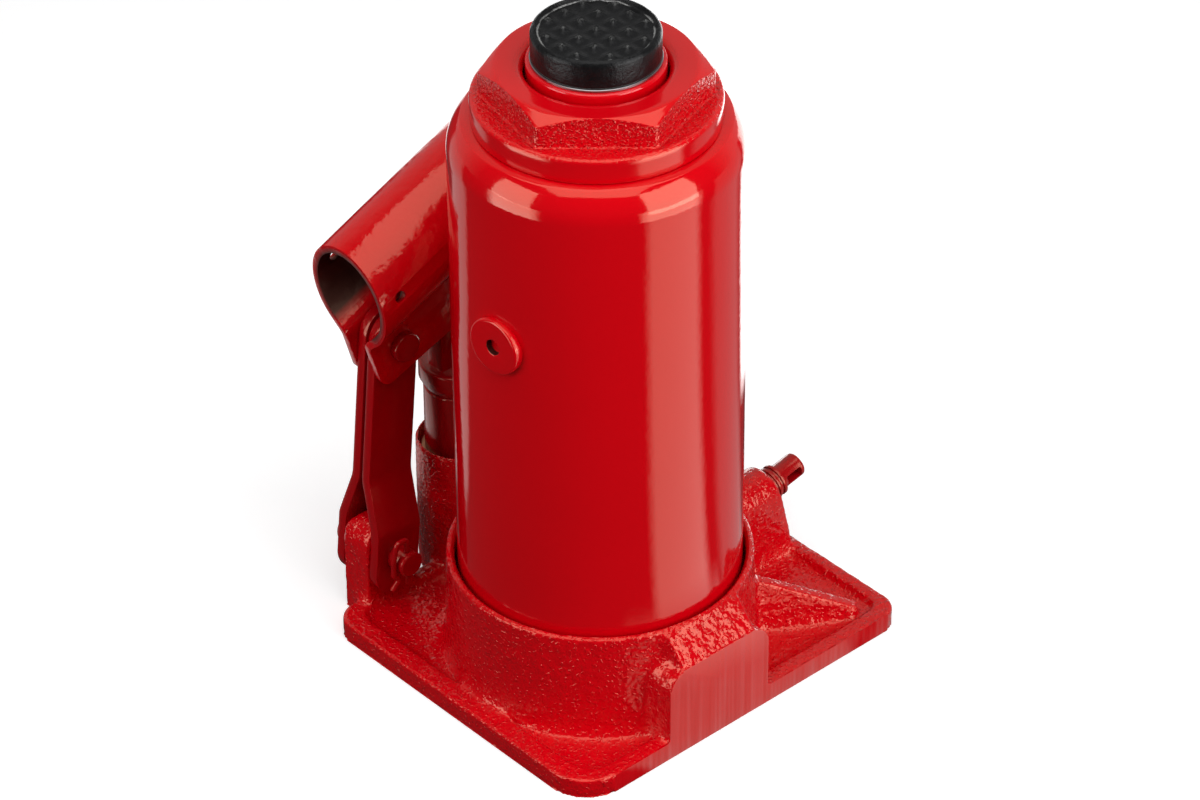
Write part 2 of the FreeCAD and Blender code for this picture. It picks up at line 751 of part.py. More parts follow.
def ram_wiper():
    """Scraper ring in its groove under the nut's lip."""
    return lathe([(ram_radius + running_gap, wiper_seat), (nut_mouth_radius, wiper_seat),
                  (nut_mouth_radius, wiper_top - wiper_edge), (ram_radius + running_gap, wiper_top)])


# ---------------------------------------------------------------- ram, screw and saddle
def ram():
    """Hollow ram with its piston land, threaded in its mouth for the extension screw."""
    foot = ram_rest - piston_nut_height
    ring_top = land_top - wear_ring_drop
    ring_bottom = ring_top - wear_ring_height
    groove = land_radius - wear_ring_depth
    outside = [(0, foot), (piston_bolt_radius, foot), (piston_bolt_radius, land_bottom),
               (land_radius, land_bottom), (land_radius, ring_bottom), (groove, ring_bottom),
               (groove, ring_top), (land_radius, ring_top), (land_radius, land_top),
               (ram_radius, land_top), (ram_radius, ram_top, ram_chamfer)]
    thread = screw_radius + running_gap
    inside = [(thread, ram_top, ram_mouth_rounding), (thread, thread_bottom),
              (ram_cavity_radius, thread_bottom), (ram_cavity_radius, ram_cavity_floor),
              (0, ram_cavity_floor)]
    return lathe(outside + inside)


def piston_cup():
    """Rubber cup that seals the piston."""
    bolt = piston_bolt_radius + thread_gap
    return lathe([(bolt, cup_bottom), (land_radius - cup_lip_width, cup_bottom),
                  (land_radius, cup_bottom + cup_lip_height), (land_radius, land_bottom),
                  (bolt, land_bottom)])


def piston_washer():
    """Plate that holds the cup."""
    return ring(piston_bolt_radius + thread_gap, cup_washer_radius, ram_rest, cup_bottom)


def piston_nut():
    """Hexagon nut under the cup's plate."""
    foot = ram_rest - piston_nut_height
    body = prism(hexagon(piston_nut_across_flats, 0), "XY", foot, ram_rest)
    return body.cut(post(piston_bolt_radius + thread_gap, foot, ram_rest))


def piston_wear_ring():
    """Guide band in the piston land."""
    top = land_top - wear_ring_drop
    return ring(land_radius - wear_ring_depth, land_radius, top - wear_ring_height, top)


def screw_stop_ring():
    """Ring on the screw's foot that stops it in the ram's thread."""
    outer = ram_cavity_radius - stop_ring_gap
    return ring(outer - stop_ring_wall, outer, stop_ring_top - stop_ring_height, stop_ring_top)


def extension_screw():
    """Screw with a thin collar on the ram and a spigot for the saddle."""
    journal = ram_cavity_radius - stop_ring_gap - stop_ring_wall - running_gap
    end_radius = journal + screw_end_width
    end_top = stop_ring_top - stop_ring_height - seat_gap
    neck = screw_radius - screw_neck_depth
    spigot_top = screw_top + spigot_height
    return lathe([
        (0, end_top - screw_end_height), (end_radius, end_top - screw_end_height, screw_end_rounding),
        (end_radius, end_top), (journal, end_top),
        (journal, stop_ring_top + seat_gap), (screw_radius, stop_ring_top + seat_gap),
        (screw_radius, ram_top - screw_neck_height), (neck, ram_top - screw_neck_height),
        (neck, ram_top + running_gap), (screw_collar_radius, ram_top + running_gap),
        (screw_collar_radius, screw_top), (spigot_radius, screw_top),
        (spigot_radius, spigot_top, spigot_rounding), (0, spigot_top)])


def saddle():
    """Cap that meets the load, with rows of raised pyramids cut across its top."""
    blank = lathe([(0, screw_top), (saddle_radius, screw_top, saddle_foot_rounding),
                   (saddle_radius, saddle_top, saddle_edge), (0, saddle_top)])
    blank = blank.cut(post(spigot_radius, screw_top, screw_top + spigot_height))
    low = saddle_top - saddle_tooth_height
    half = saddle_groove_width / 2
    slope = (saddle_pitch - saddle_groove_width) / 2 * saddle_flank_share
    high = saddle_top + face_margin
    count = int(saddle_radius // saddle_pitch) + 1
    grooves = []
    for index in range(-count, count):
        middle = (index + 0.5) * saddle_pitch
        section = [(middle - half, low), (middle + half, low), (middle + half + slope, high),
                   (middle - half - slope, high)]
        grooves.append(prism(section, "XZ", -saddle_radius, saddle_radius))
        grooves.append(prism(section, "YZ", -saddle_radius, saddle_radius))
    rim = ring(saddle_radius - saddle_edge, saddle_radius + cut_margin, low - cut_margin,
               saddle_top + cut_margin)
    return blank.cut([groove.cut(rim) for groove in grooves])


# ---------------------------------------------------------------- pump
def pump_washer():
    """Copper ring under the pump barrel's shoulder."""
    return ring(pump_thread_radius + thread_gap, pump_washer_radius, pump_recess_floor,
                pump_recess_floor + pump_washer_height, 0, pump_y)


def pump_barrel():
    """Pump cylinder, screwed into its boss."""
    shoulder = pump_recess_floor + pump_washer_height
    seal_seat = pump_barrel_top - pump_gland_height - pump_seal_height
    bore = plunger_radius + running_gap
    return lathe([(bore, pump_bore_bottom), (pump_thread_radius, pump_bore_bottom),
                  (pump_thread_radius, shoulder),
                  (pump_barrel_radius, shoulder),
                  (pump_barrel_radius, pump_barrel_top, pump_barrel_rounding),
                  (pump_seal_radius, pump_barrel_top), (pump_seal_radius, seal_seat),
                  (bore, seal_seat)], 0, pump_y)


def pump_seal():
    """Packing round the plunger."""
    seat = pump_barrel_top - pump_gland_height - pump_seal_height
    return ring(plunger_radius + running_gap, pump_seal_radius, seat, seat + pump_seal_height, 0, pump_y)


def pump_gland_ring():
    """Threaded ring that holds the packing."""
    return ring(plunger_radius + running_gap, pump_seal_radius - thread_gap,
                pump_barrel_top - pump_gland_height, pump_barrel_top, 0, pump_y)


def pump_plunger():
    """Plunger rod with a round head and a flat tongue that stands between the socket's cheeks."""
    shoulder = pump_barrel_top + seat_gap
    head_top = shoulder + plunger_head_height
    rod = lathe([(0, plunger_bottom), (plunger_radius, plunger_bottom), (plunger_radius, shoulder),
                 (plunger_head_radius - plunger_head_chamfer, shoulder),
                 (plunger_head_radius, shoulder + 2 * plunger_head_chamfer),
                 (plunger_head_radius, head_top, plunger_head_rounding), (0, head_top)], 0, pump_y)
    tongue = prism([(-tongue_half_width, shoulder + plunger_head_height / 2),
                    (tongue_half_width, shoulder + plunger_head_height / 2),
                    (tongue_half_width, plunger_pin_z + tongue_head, tongue_corner * 2),
                    (-tongue_half_width, plunger_pin_z + tongue_head, tongue_corner * 2)],
                   "XZ", pump_y - tongue_thickness / 2, pump_y + tongue_thickness / 2)
    slot = plunger_slot()
    return rod.fuse(tongue).cut(slot)


def plunger_slot():
    """Slot that lets the pin swing in its arc while the plunger goes straight."""
    half = plunger_pin_radius + slot_play_z
    reach = plunger_pin_radius + slot_play_x
    return prism([(-reach, plunger_pin_z - half, half), (reach, plunger_pin_z - half, half),
                  (reach, plunger_pin_z + half, half), (-reach, plunger_pin_z + half, half)],
                 "XZ", pump_y - tongue_thickness, pump_y + tongue_thickness)


# ---------------------------------------------------------------- valves in the base
def suction_ball():
    """Ball of the suction valve, under the pump."""
    return ball_on_hole(suction_ball_radius, seat_hole_radius, ball_chamber_floor, 0, pump_y)


def suction_gallery_plug():
    """Screw that closes the suction gallery's drilled end."""
    start = pump_y + pump_boss_radius - gallery_plug_length
    end = pump_y + pump_boss_radius - gallery_plug_inset
    plug = cross_pin(gallery_plug_radius, 0, suction_gallery_height, start, end)
    slot = Part.makeBox(2 * gallery_plug_radius, gallery_slot_depth, gallery_slot_width,
                        Vec(-gallery_plug_radius, end - gallery_slot_depth,
                            suction_gallery_height - gallery_slot_width / 2))
    return plug.cut(slot)


def suction_strainer():
    """Perforated disc over the suction riser."""
    disc = post(strainer_radius, reservoir_floor - strainer_height, reservoir_floor, 0, suction_riser_y)
    holes = []
    for index in range(strainer_holes):
        angle = 2 * math.pi * index / strainer_holes
        holes.append(post(strainer_hole_radius, reservoir_floor - strainer_height, reservoir_floor,
                          strainer_hole_place * math.cos(angle),
                          suction_riser_y + strainer_hole_place * math.sin(angle)))
    return disc.cut(holes)


def check_ball(x, y, seat):
    """Ball of a valve that opens upwards."""
    return ball_on_hole(check_ball_radius, check_hole_radius, seat, x, y)


def check_spring(x, y, seat):
    """Coil spring between a valve's ball and its plug, with ground ends."""
    centre = seat + math.sqrt(check_ball_radius ** 2 - check_hole_radius ** 2) + ball_lift
    low = centre + check_ball_radius - spring_wire / 2
    high = check_plug_bottom - spring_wire / 2 - ball_lift
    start = low + spring_wire
    helix = Part.makeHelix((high - start) / spring_turns, high - start, spring_radius)
    profile = Part.Wire(Part.makeCircle(spring_wire / 2, Vec(spring_radius, 0, 0), Vec(0, 1, 0)))
    coil = Part.Wire(helix).makePipeShell([profile], True, True)
    coil.translate(Vec(x, y, start))
    return coil


def check_plug(x, y):
    """Slotted screw over a valve's spring."""
    top = check_plug_bottom + check_plug_height
    body = post(check_plug_radius, check_plug_bottom, top, x, y)
    slot = Part.makeBox(check_plug_radius * 2, check_slot_width, check_slot_depth,
                        Vec(x - check_plug_radius, y - check_slot_width / 2, top - check_slot_depth))
    return body.cut(slot)


def release_ball():
    """Ball that the release valve's spindle presses on its seat."""
    inwards = spindle_inner + release_ball_radius + ball_lift
    return Part.makeSphere(release_ball_radius, spindle_axis(-inwards))


# ---------------------------------------------------------------- release valve
def along_spindle(shape):
    """Lay a shape that was turned about Z along the release valve's axis."""
    laid = shape.copy()
    laid.rotate(Vec(0, 0, 0), Vec(0, 1, 0), 90 - valve_tilt)
    laid.translate(spindle_axis(0))
    return laid


def release_spindle():
    """Screwed spindle with a slotted end for the handle's notch."""
    radius = spindle_radius
    thread = spindle_thread_radius
    core = thread - spindle_groove_depth
    shank = radius - spindle_relief
    seal_core = radius - o_ring_depth
    seal_end = -o_ring_place - o_ring_height
    profile = [(0, -spindle_inner), (spindle_tip_radius, -spindle_inner),
               (shank, -spindle_inner + spindle_cone), (shank, seal_end - spindle_land),
               (radius, seal_end - spindle_land), (radius, seal_end), (seal_core, seal_end),
               (seal_core, -o_ring_place), (radius, -o_ring_place),
               (radius, -spindle_thread_depth), (thread, -spindle_thread_depth)]
    place = spindle_groove_start
    for _ in range(spindle_grooves):
        profile += [(thread, place), (core, place), (core, place + spindle_groove_width),
                    (thread, place + spindle_groove_width)]
        place += spindle_groove_pitch
    profile += [(thread, spindle_thread_end), (radius, spindle_thread_end),
                (radius, spindle_end, spindle_end_rounding), (0, spindle_end)]
    slot_foot = spindle_end - spindle_slot_inset - spindle_slot_length
    slot = Part.makeBox(spindle_slot_width, 4 * radius, spindle_slot_length,
                        Vec(-spindle_slot_width / 2, -2 * radius, slot_foot))
    return along_spindle(lathe(profile).cut(slot))


def release_o_ring():
    """Seal in the spindle's groove."""
    radius = spindle_radius
    return along_spindle(ring(radius - o_ring_depth + running_gap, radius,
                              -o_ring_place - o_ring_height + running_gap, -o_ring_place - running_gap))


# ---------------------------------------------------------------- pump linkage
def link_outline():
    """Long plate with round ends, drawn upright with the anchor pin at (0, 0)."""
    half = link_width / 2
    low = -link_lower_end
    high = link_length + link_upper_end
    return [(-half, low, half), (half, low, half), (half, high, half),
            (-half, high, half)]


def front_link():
    """Joggled plate in front of the lug and inside the front cheek."""
    slope = math.atan2(link_gap_bottom / 2 - link_gap_top / 2, joggle_length)
    shift = link_thickness * math.tan(slope / 2)
    low = -link_lower_end - cut_margin
    high = link_length + link_upper_end + cut_margin
    bend_end = joggle_start + joggle_length
    inner = [(-link_gap_bottom / 2, low), (-link_gap_bottom / 2, joggle_start, joggle_bend + link_thickness),
             (-link_gap_top / 2, bend_end, joggle_bend), (-link_gap_top / 2, high)]
    outer = [(-link_outer_top, high), (-link_outer_top, bend_end + shift, joggle_bend + link_thickness),
             (-link_outer_bottom, joggle_start + shift, joggle_bend), (-link_outer_bottom, low)]
    bar = prism(inner + outer, "YZ", -link_width, link_width)
    bar = bar.common(prism(link_outline(), "XZ", -2 * link_outer_bottom, 2 * link_outer_bottom))
    bar = bar.cut(cross_pin(anchor_pin_radius + running_gap, 0, 0, -2 * link_outer_bottom, 0))
    bar = bar.cut(cross_pin(fulcrum_pin_radius + running_gap, 0, link_length,
                            -2 * link_outer_bottom, 0))
    bar.translate(anchor)
    return turned_about(bar, anchor, -link_lean)


def anchor_pin():
    """Pin through the links and the lug, with a cross hole for its clip."""
    front = pump_y - link_outer_bottom - anchor_pin_reach
    rear = pump_y + link_outer_bottom + slide_gap
    shank = cross_pin(anchor_pin_radius, anchor_x, anchor_z, front, rear)
    head = cross_pin(anchor_pin_head_radius, anchor_x, anchor_z, rear, rear + anchor_pin_head)
    hole = post(clip_wire / 2 + clip_hole_gap, anchor_z - anchor_pin_head_radius,
                anchor_z + anchor_pin_head_radius, anchor_x, front + clip_inset)
    end_edges = [edge for edge in shank.Edges if edge.BoundBox.YMax < front + face_margin]
    pin = shank.makeChamfer(anchor_pin_chamfer, end_edges)
    return pin.fuse(head).cut(hole)


def wire_along(points, bend, radius):
    """Round wire along straight runs with equal bends between them, in the XZ plane."""
    edges = []
    start = points[0]
    for index in range(1, len(points) - 1):
        corner = points[index]
        to_last = (points[index - 1] - corner).normalize()
        to_next = (points[index + 1] - corner).normalize()
        half = to_last.getAngle(to_next) / 2
        back = bend / math.tan(half)
        through = corner + (to_last + to_next).normalize() * (bend / math.sin(half) - bend)
        edges.append(Part.LineSegment(start, corner + to_last * back).toShape())
        edges.append(Part.Arc(corner + to_last * back, through, corner + to_next * back).toShape())
        start = corner + to_next * back
    edges.append(Part.LineSegment(start, points[-1]).toShape())
    path = Part.Wire(edges)
    way = (points[1] - points[0]).normalize()
    profile = Part.Wire(Part.makeCircle(radius, points[0], way))
    return path.makePipeShell([profile], True, False)


def anchor_pin_clip():
    """Hairpin clip: one leg through the pin, the other round its side and flared."""
    y = pump_y - link_outer_bottom - anchor_pin_reach + clip_inset
    side = anchor_pin_radius + clip_wire / 2 + clip_side_gap
    corners = [(0, -clip_leg), (0, clip_loop_height), (-clip_loop_width, clip_loop_height),
               (-side, clip_shoulder), (-side, -clip_waist), (-clip_flare, -clip_knee),
               (-side - clip_toe, -clip_leg)]
    bends = [Vec(anchor_x + x, y, anchor_z + z) for x, z in corners]
    return wire_along(bends, clip_bend, clip_wire / 2)


def on_socket(along, off):
    """Point of the pump's middle plane in the barrel's own directions, as (x, z)."""
    slope = math.radians(socket_slope)
    return (socket_mouth_x + along * math.cos(slope) - off * math.sin(slope),
            socket_mouth_z + along * math.sin(slope) + off * math.cos(slope))


def keyhole(radius, half_gap, bend):
    """Round bar along X with a neck below that narrows to a flat bar, as wide as twice half_gap."""
    angle = math.radians(socket_neck_angle)
    side = radius * math.cos(angle)
    drop = radius * math.sin(angle)
    knee = drop + (side - half_gap) / math.tan(angle)
    low = -3 * radius
    neck = prism([(side, -drop), (half_gap, -knee, bend), (half_gap, low), (-half_gap, low),
                  (-half_gap, -knee, bend), (-side, -drop)], "YZ", -socket_od, 2 * socket_length)
    barrel = Part.makeCylinder(radius, socket_od + 2 * socket_length, Vec(-socket_od, 0, 0),
                               Vec(1, 0, 0))
    return barrel.fuse(neck)


def mouth_edge(height):
    """Point of the mouth's edge at a height, as (x, z)."""
    lean = math.tan(math.radians(socket_mouth_tilt))
    return (socket_mouth_x + (socket_mouth_z - height) * lean, height)


def socket_outline():
    """Side view of the socket: the mouth, the cheeks round both pins and the barrel."""
    slope = math.atan2(plunger_pin_z - fulcrum_z, -fulcrum_x)
    along = (math.cos(slope) * cheek_lobe, math.sin(slope) * cheek_lobe)
    heel = (along[0] + along[1], plunger_pin_z + along[1] - along[0], cheek_lobe)
    return [mouth_edge(socket_mouth_z + socket_od), mouth_edge(fulcrum_z + cheek_shoulder),
            (fulcrum_x - cheek_toe_back, fulcrum_z - cheek_toe_drop, cheek_toe_corner), heel,
            on_socket(cheek_run_out, -socket_seam_drop) + (cheek_fillet,),
            on_socket(socket_length, -socket_seam_drop), on_socket(socket_length, socket_od)]


def handle_socket():
    """Pressed steel socket: barrel, two cheeks and the holes for both pins and a grub screw."""
    body = keyhole(socket_radius, cheek_outer, socket_neck_bend)
    body = body.cut(keyhole(socket_bore, cheek_inner, socket_neck_bend + socket_sheet))
    body.rotate(Vec(0, 0, 0), Vec(0, -1, 0), socket_slope)
    body.translate(Vec(socket_mouth_x, pump_y, socket_mouth_z))
    body = body.common(prism(socket_outline(), "XZ", pump_y - socket_od, pump_y + socket_od))
    holes = [cross_pin(fulcrum_pin_radius, fulcrum_x, fulcrum_z, pump_y - socket_od, pump_y + socket_od),
             cross_pin(plunger_pin_radius, 0, plunger_pin_z, pump_y - socket_od, pump_y + socket_od),
             cross_pin(cross_hole_radius, cross_hole_x, cross_hole_height(), pump_y - socket_od,
                       pump_y + socket_od)]
    return body.cut(holes)


def cross_hole_height():
    """Height of the small cross hole, just above the barrel's axis."""
    slope = math.radians(socket_slope)
    return socket_mouth_z + (cross_hole_x - socket_mouth_x) * math.tan(slope) + cross_hole_rise


def headed_pin(radius, head_radius, head, x, z):
    """Pin through both cheeks: head in front, a clip groove behind."""
    front = pump_y - cheek_outer
    rear = pump_y + cheek_outer
    clip = rear + slide_gap
    shank = cross_pin(radius, x, z, front, rear + pin_tail)
    groove = cross_pin(radius + cut_margin, x, z, clip, clip + e_clip_height)
    groove = groove.cut(cross_pin(radius - e_clip_groove, x, z, clip, clip + e_clip_height))
    cap = cross_pin(head_radius, x, z, front - head, front)
    end_edges = [edge for edge in cap.Edges if edge.BoundBox.YMax < front - head + face_margin]
    cap = cap.makeFillet(pin_head_rounding, end_edges)
    return shank.cut(groove).fuse(cap)


def e_clip(radius, x, z):
    """Open ring in a pin's groove."""
    clip = pump_y + cheek_outer + slide_gap
    inner = radius - e_clip_groove
    body = cross_pin(e_clip_radius, x, z, clip, clip + e_clip_height)
    body = body.cut(cross_pin(inner, x, z, clip, clip + e_clip_height))
    mouth = Part.makeBox(2 * (inner - e_clip_pinch), e_clip_height, e_clip_radius,
                         Vec(x - inner + e_clip_pinch, clip, z - e_clip_radius))
    return body.cut(mouth)


def main():
    """Write every piece."""
    os.makedirs("parts", exist_ok=True)
    save("base_casting", base_casting())
    save("tank_lower_gasket", tank_lower_gasket())
    save("reservoir_tank", reservoir_tank())
    save("tank_upper_gasket", tank_upper_gasket())
    save("filler_plug", filler_plug())
    save("filler_seal", filler_seal())
    save("cylinder_washer", cylinder_washer())
    save("pressure_cylinder", pressure_cylinder())
    save("top_nut", top_nut())
    save("ram_wiper", ram_wiper())
    save("ram", ram())
    save("piston_cup", piston_cup())
    save("piston_washer", piston_washer())
    save("piston_nut", piston_nut())
    save("piston_wear_ring", piston_wear_ring())
    save("screw_stop_ring", screw_stop_ring())
    save("extension_screw", extension_screw())
    save("saddle", saddle())
    save("pump_washer", pump_washer())
    save("pump_barrel", pump_barrel())
    save("pump_seal", pump_seal())
    save("pump_gland_ring", pump_gland_ring())
    save("pump_plunger", pump_plunger())
    save("suction_ball", suction_ball())
    save("suction_gallery_plug", suction_gallery_plug())
    save("suction_strainer", suction_strainer())
    save("delivery_ball", check_ball(delivery_x, delivery_y, delivery_seat))
    save("delivery_spring", check_spring(delivery_x, delivery_y, delivery_seat))
    save("delivery_plug", check_plug(delivery_x, delivery_y))
    save("overload_ball", check_ball(overload_x, 0, overload_seat))
    save("overload_spring", check_spring(overload_x, 0, overload_seat))
    save("overload_screw", check_plug(overload_x, 0))
    save("release_ball", release_ball())
    save("release_spindle", release_spindle())
    save("release_o_ring", release_o_ring())
    link = front_link()
    save("front_link", link)
    save("rear_link", mirrored_in_y(link))
    save("anchor_pin", anchor_pin())
    save("anchor_pin_clip", anchor_pin_clip())
    save("handle_socket", handle_socket())
    save("fulcrum_pin", headed_pin(fulcrum_pin_radius, fulcrum_pin_head_radius, fulcrum_pin_head,
                                   fulcrum_x, fulcrum_z))
    save("fulcrum_pin_clip", e_clip(fulcrum_pin_radius, fulcrum_x, fulcrum_z))
    save("plunger_pin", headed_pin(plunger_pin_radius, plunger_pin_head_radius, plunger_pin_head,
                                   0.0, plunger_pin_z))
    save("plunger_pin_clip", e_clip(plunger_pin_radius, 0.0, plunger_pin_z))


main()
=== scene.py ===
"""Looks of a hydraulic bottle jack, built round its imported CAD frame.

Everything is in metres and in the frame of the CAD: the origin is under the ram's axis, +Z is up,
the milled pad faces -Y, the release valve points to +X and the pump stands on the +Y side.
"""
from __future__ import annotations

import json
import logging
import math
from collections.abc import Callable
from dataclasses import dataclass
from enum import Enum

import bmesh
import bpy
import numpy as np
from mathutils import Matrix, Vector


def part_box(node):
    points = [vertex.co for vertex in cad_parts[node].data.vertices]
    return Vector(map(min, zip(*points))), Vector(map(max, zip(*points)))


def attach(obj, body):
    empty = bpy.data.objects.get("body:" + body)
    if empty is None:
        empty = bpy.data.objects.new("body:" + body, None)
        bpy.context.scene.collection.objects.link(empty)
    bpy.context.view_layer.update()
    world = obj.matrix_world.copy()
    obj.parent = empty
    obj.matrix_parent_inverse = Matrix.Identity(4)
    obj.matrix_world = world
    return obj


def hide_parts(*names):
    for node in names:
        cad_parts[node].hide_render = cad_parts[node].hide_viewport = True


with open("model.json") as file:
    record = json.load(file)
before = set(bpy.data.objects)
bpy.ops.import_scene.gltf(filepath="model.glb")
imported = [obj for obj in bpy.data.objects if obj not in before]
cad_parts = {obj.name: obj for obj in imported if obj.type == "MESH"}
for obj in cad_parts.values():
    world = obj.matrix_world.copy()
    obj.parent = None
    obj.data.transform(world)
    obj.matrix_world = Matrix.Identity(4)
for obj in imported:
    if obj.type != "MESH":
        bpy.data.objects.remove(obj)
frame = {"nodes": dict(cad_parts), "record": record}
LOG = logging.getLogger("bottle_jack")
MM = 0.001

# How a CAD mesh is copied: points this near are one, and faces that bend less than this are one.
MERGE_REACH = 0.002 * MM
FLAT_BEND = math.radians(0.4)
# Edges that bend more than this are broken, and those that bend more than this stay sharp.
HARD_BEND = math.radians(34)
BROKEN_SHARP = 30.0
# A point this far outside a bore's radius is still on its wall.
WALL_REACH = 0.05 * MM
# The lattice noise starts this many cells below zero, so that every cell's number is positive, and
# mixes them with three large primes.
LATTICE_SHIFT = 1000.0
LATTICE_PRIMES = np.array([73856093, 19349663, 83492791])


# ---------------------------------------------------------------- nodes and colours
def linear(colour: str) -> tuple[float, float, float, float]:
    """Turn an sRGB hex colour into the linear colour that a shader takes.

    Args:
        colour: Six hex digits after a hash sign.

    Returns:
        Red, green, blue and an alpha of 1.
    """
    channels = [int(colour[place:place + 2], 16) / 255 for place in (1, 3, 5)]
    light = [c / 12.92 if c <= 0.04045 else ((c + 0.055) / 1.055) ** 2.4 for c in channels]
    return (light[0], light[1], light[2], 1.0)


def add_node(tree: bpy.types.NodeTree, kind: str, inputs: dict | None = None,
             **settings: object) -> bpy.types.Node:
    """Add one node to a tree with its settings and what feeds it.

    Args:
        tree: The node tree of a material or of the world.
        kind: Blender's name of the node's class.
        inputs: What each socket gets, a value or another node's output.
        **settings: The node's own properties.

    Returns:
        The new node.
    """
    node = tree.nodes.new(kind)
    for name, value in settings.items():
        setattr(node, name, value)
    for name, value in (inputs or {}).items():
        socket = node.inputs[name]
        if isinstance(value, bpy.types.NodeSocket):
            tree.links.new(value, socket)
        else:
            socket.default_value = value
    return node


# ---------------------------------------------------------------- surfaces in numpy
def grid_faces(rows: int, columns: int, close_rows: bool) -> np.ndarray:
    """Quads between the rows of a grid whose columns close on themselves.

    Args:
        rows: Number of rows of points.
        columns: Number of points in each row.
        close_rows: Whether the last row joins the first.

    Returns:
        One line of four point numbers a quad.
    """
    row, column = np.meshgrid(np.arange(rows if close_rows else rows - 1), np.arange(columns),
                              indexing="ij")
    after_row, after_column = (row + 1) % rows, (column + 1) % columns
    corners = [row * columns + column, row * columns + after_column,
               after_row * columns + after_column, after_row * columns + column]
    return np.stack(corners, axis=-1).reshape(-1, 4)


def spaced(line: np.ndarray, spacing: float) -> np.ndarray:
    """Add points to a line so that no two are further apart than the spacing.

    Args:
        line: Points of the line, in order.
        spacing: The largest distance between neighbours.

    Returns:
        The same line with more points on its longer runs.
    """
    runs = np.linalg.norm(np.diff(line, axis=0), axis=1)
    parts = np.maximum(1, np.ceil(runs / spacing)).astype(int)
    place = np.concatenate([np.repeat(np.arange(len(runs)), parts), [len(runs) - 1]])
    share = np.arange(parts.sum()) - np.repeat(np.cumsum(parts) - parts, parts)
    share = np.concatenate([share / np.repeat(parts, parts), [1.0]])[:, None]
    return line[place] * (1 - share) + line[place + 1] * share


def lattice_noise(points: np.ndarray, size: float, seed: int) -> np.ndarray:
    """Smooth noise from 0 to 1: a random value at each point of a cubic lattice, eased between.

    Args:
        points: Places, one line of three numbers each.
        size: Distance between lattice points, about the size of one lump.
        seed: Picks the pattern.

    Returns:
        One value a place.
    """
    place = points / size + LATTICE_SHIFT
    cell = np.floor(place).astype(np.int64)
    inside = place - cell
    ease = inside * inside * (3 - 2 * inside)
    total = np.zeros(len(points))
    for corner in range(8):
        step = np.array([corner & 1, corner >> 1 & 1, corner >> 2 & 1])
        mixed = ((cell + step) * LATTICE_PRIMES).sum(axis=1) + seed * 7919
        mixed = (mixed ^ (mixed >> 13)) * 1274126177 & 0xFFFFFFFF
        mixed = (mixed ^ (mixed >> 16)) & 0xFFFF
        weight = np.where(step == 1, ease, 1 - ease).prod(axis=1)
        total += weight * mixed / 0xFFFF
    return total


def sand_relief(points: np.ndarray, grain: float, seed: int) -> np.ndarray:
    """Relief of a sand casting from 0 to 1: grains at three sizes, each half as large as the last.

    Args:
        points: Places, one line of three numbers each.
        grain: Size of the largest grains.
        seed: Picks the pattern.

    Returns:
        One value a place, 0 on the crests.
    """
    coarse = lattice_noise(points, grain, seed)
    middle = lattice_noise(points, grain / 2, seed + 1)
    fine = lattice_noise(points, grain / 4, seed + 2)
    return np.clip(0.5 * coarse + 0.33 * middle + 0.17 * fine, 0, 1)


def turned_surface(profile: np.ndarray, around: int,
                   closed: bool) -> tuple[np.ndarray, list[list[int]]]:
    """Carry a profile of (radius, height) once round the Z axis.

    The point at height h and angle a is (r cos a, r sin a, h). An open profile starts and ends
    on the axis, and each of its ends becomes one pole joined by triangles.

    Args:
        profile: The profile, counterclockwise as seen with the radius to the right.
        around: Number of steps in a turn.
        closed: Whether the profile closes on itself, as a ring's section does.

    Returns:
        The points and the faces.
    """
    angle = np.arange(around) / around * 2 * math.pi
    body = profile if closed else profile[1:-1]
    points = np.stack([body[:, None, 0] * np.cos(angle), body[:, None, 0] * np.sin(angle),
                       np.repeat(body[:, None, 1], around, axis=1)], axis=-1).reshape(-1, 3)
    faces = grid_faces(len(body), around, closed).tolist()
    if closed:
        return points, faces
    step, after = np.arange(around), (np.arange(around) + 1) % around
    low, high, last = len(points), len(points) + 1, (len(body) - 1) * around
    faces += np.stack([np.full(around, low), after, step], axis=-1).tolist()
    faces += np.stack([np.full(around, high), last + step, last + after], axis=-1).tolist()
    poles = [(0.0, 0.0, profile[0, 1]), (0.0, 0.0, profile[-1, 1])]
    return np.concatenate([points, np.array(poles)]), faces


# ---------------------------------------------------------------- meshes
def new_piece(name: str, points: np.ndarray, faces: list[list[int]],
              sharp: float = 40.0) -> bpy.types.Object:
    """Make an object from points and faces, shaded smooth except at sharp edges.

    Args:
        name: Name of the piece.
        points: Its points, one line of three numbers each.
        faces: Its faces as lists of point numbers.
        sharp: Edges bent by more than this many degrees stay sharp.

    Returns:
        The object, at the origin and unturned.
    """
    mesh = bpy.data.meshes.new(name)
    mesh.from_pydata(points.tolist(), [], faces)
    mesh.validate()
    return dressed_mesh(name, mesh, sharp)


def dressed_mesh(name: str, mesh: bpy.types.Mesh, sharp: float) -> bpy.types.Object:
    """Link a mesh as an object with smooth shading, its normals pointing outwards.

    Args:
        name: Name of the piece.
        mesh: The mesh, in the frame of the CAD.
        sharp: Edges bent by more than this many degrees stay sharp.

    Returns:
        The object.
    """
    shape = bmesh.new()
    shape.from_mesh(mesh)
    bmesh.ops.recalc_face_normals(shape, faces=shape.faces)
    shape.to_mesh(mesh)
    shape.free()
    mesh.shade_smooth()
    mesh.set_sharp_from_angle(angle=math.radians(sharp))
    piece = bpy.data.objects.new(name, mesh)
    bpy.context.scene.collection.objects.link(piece)
    return piece


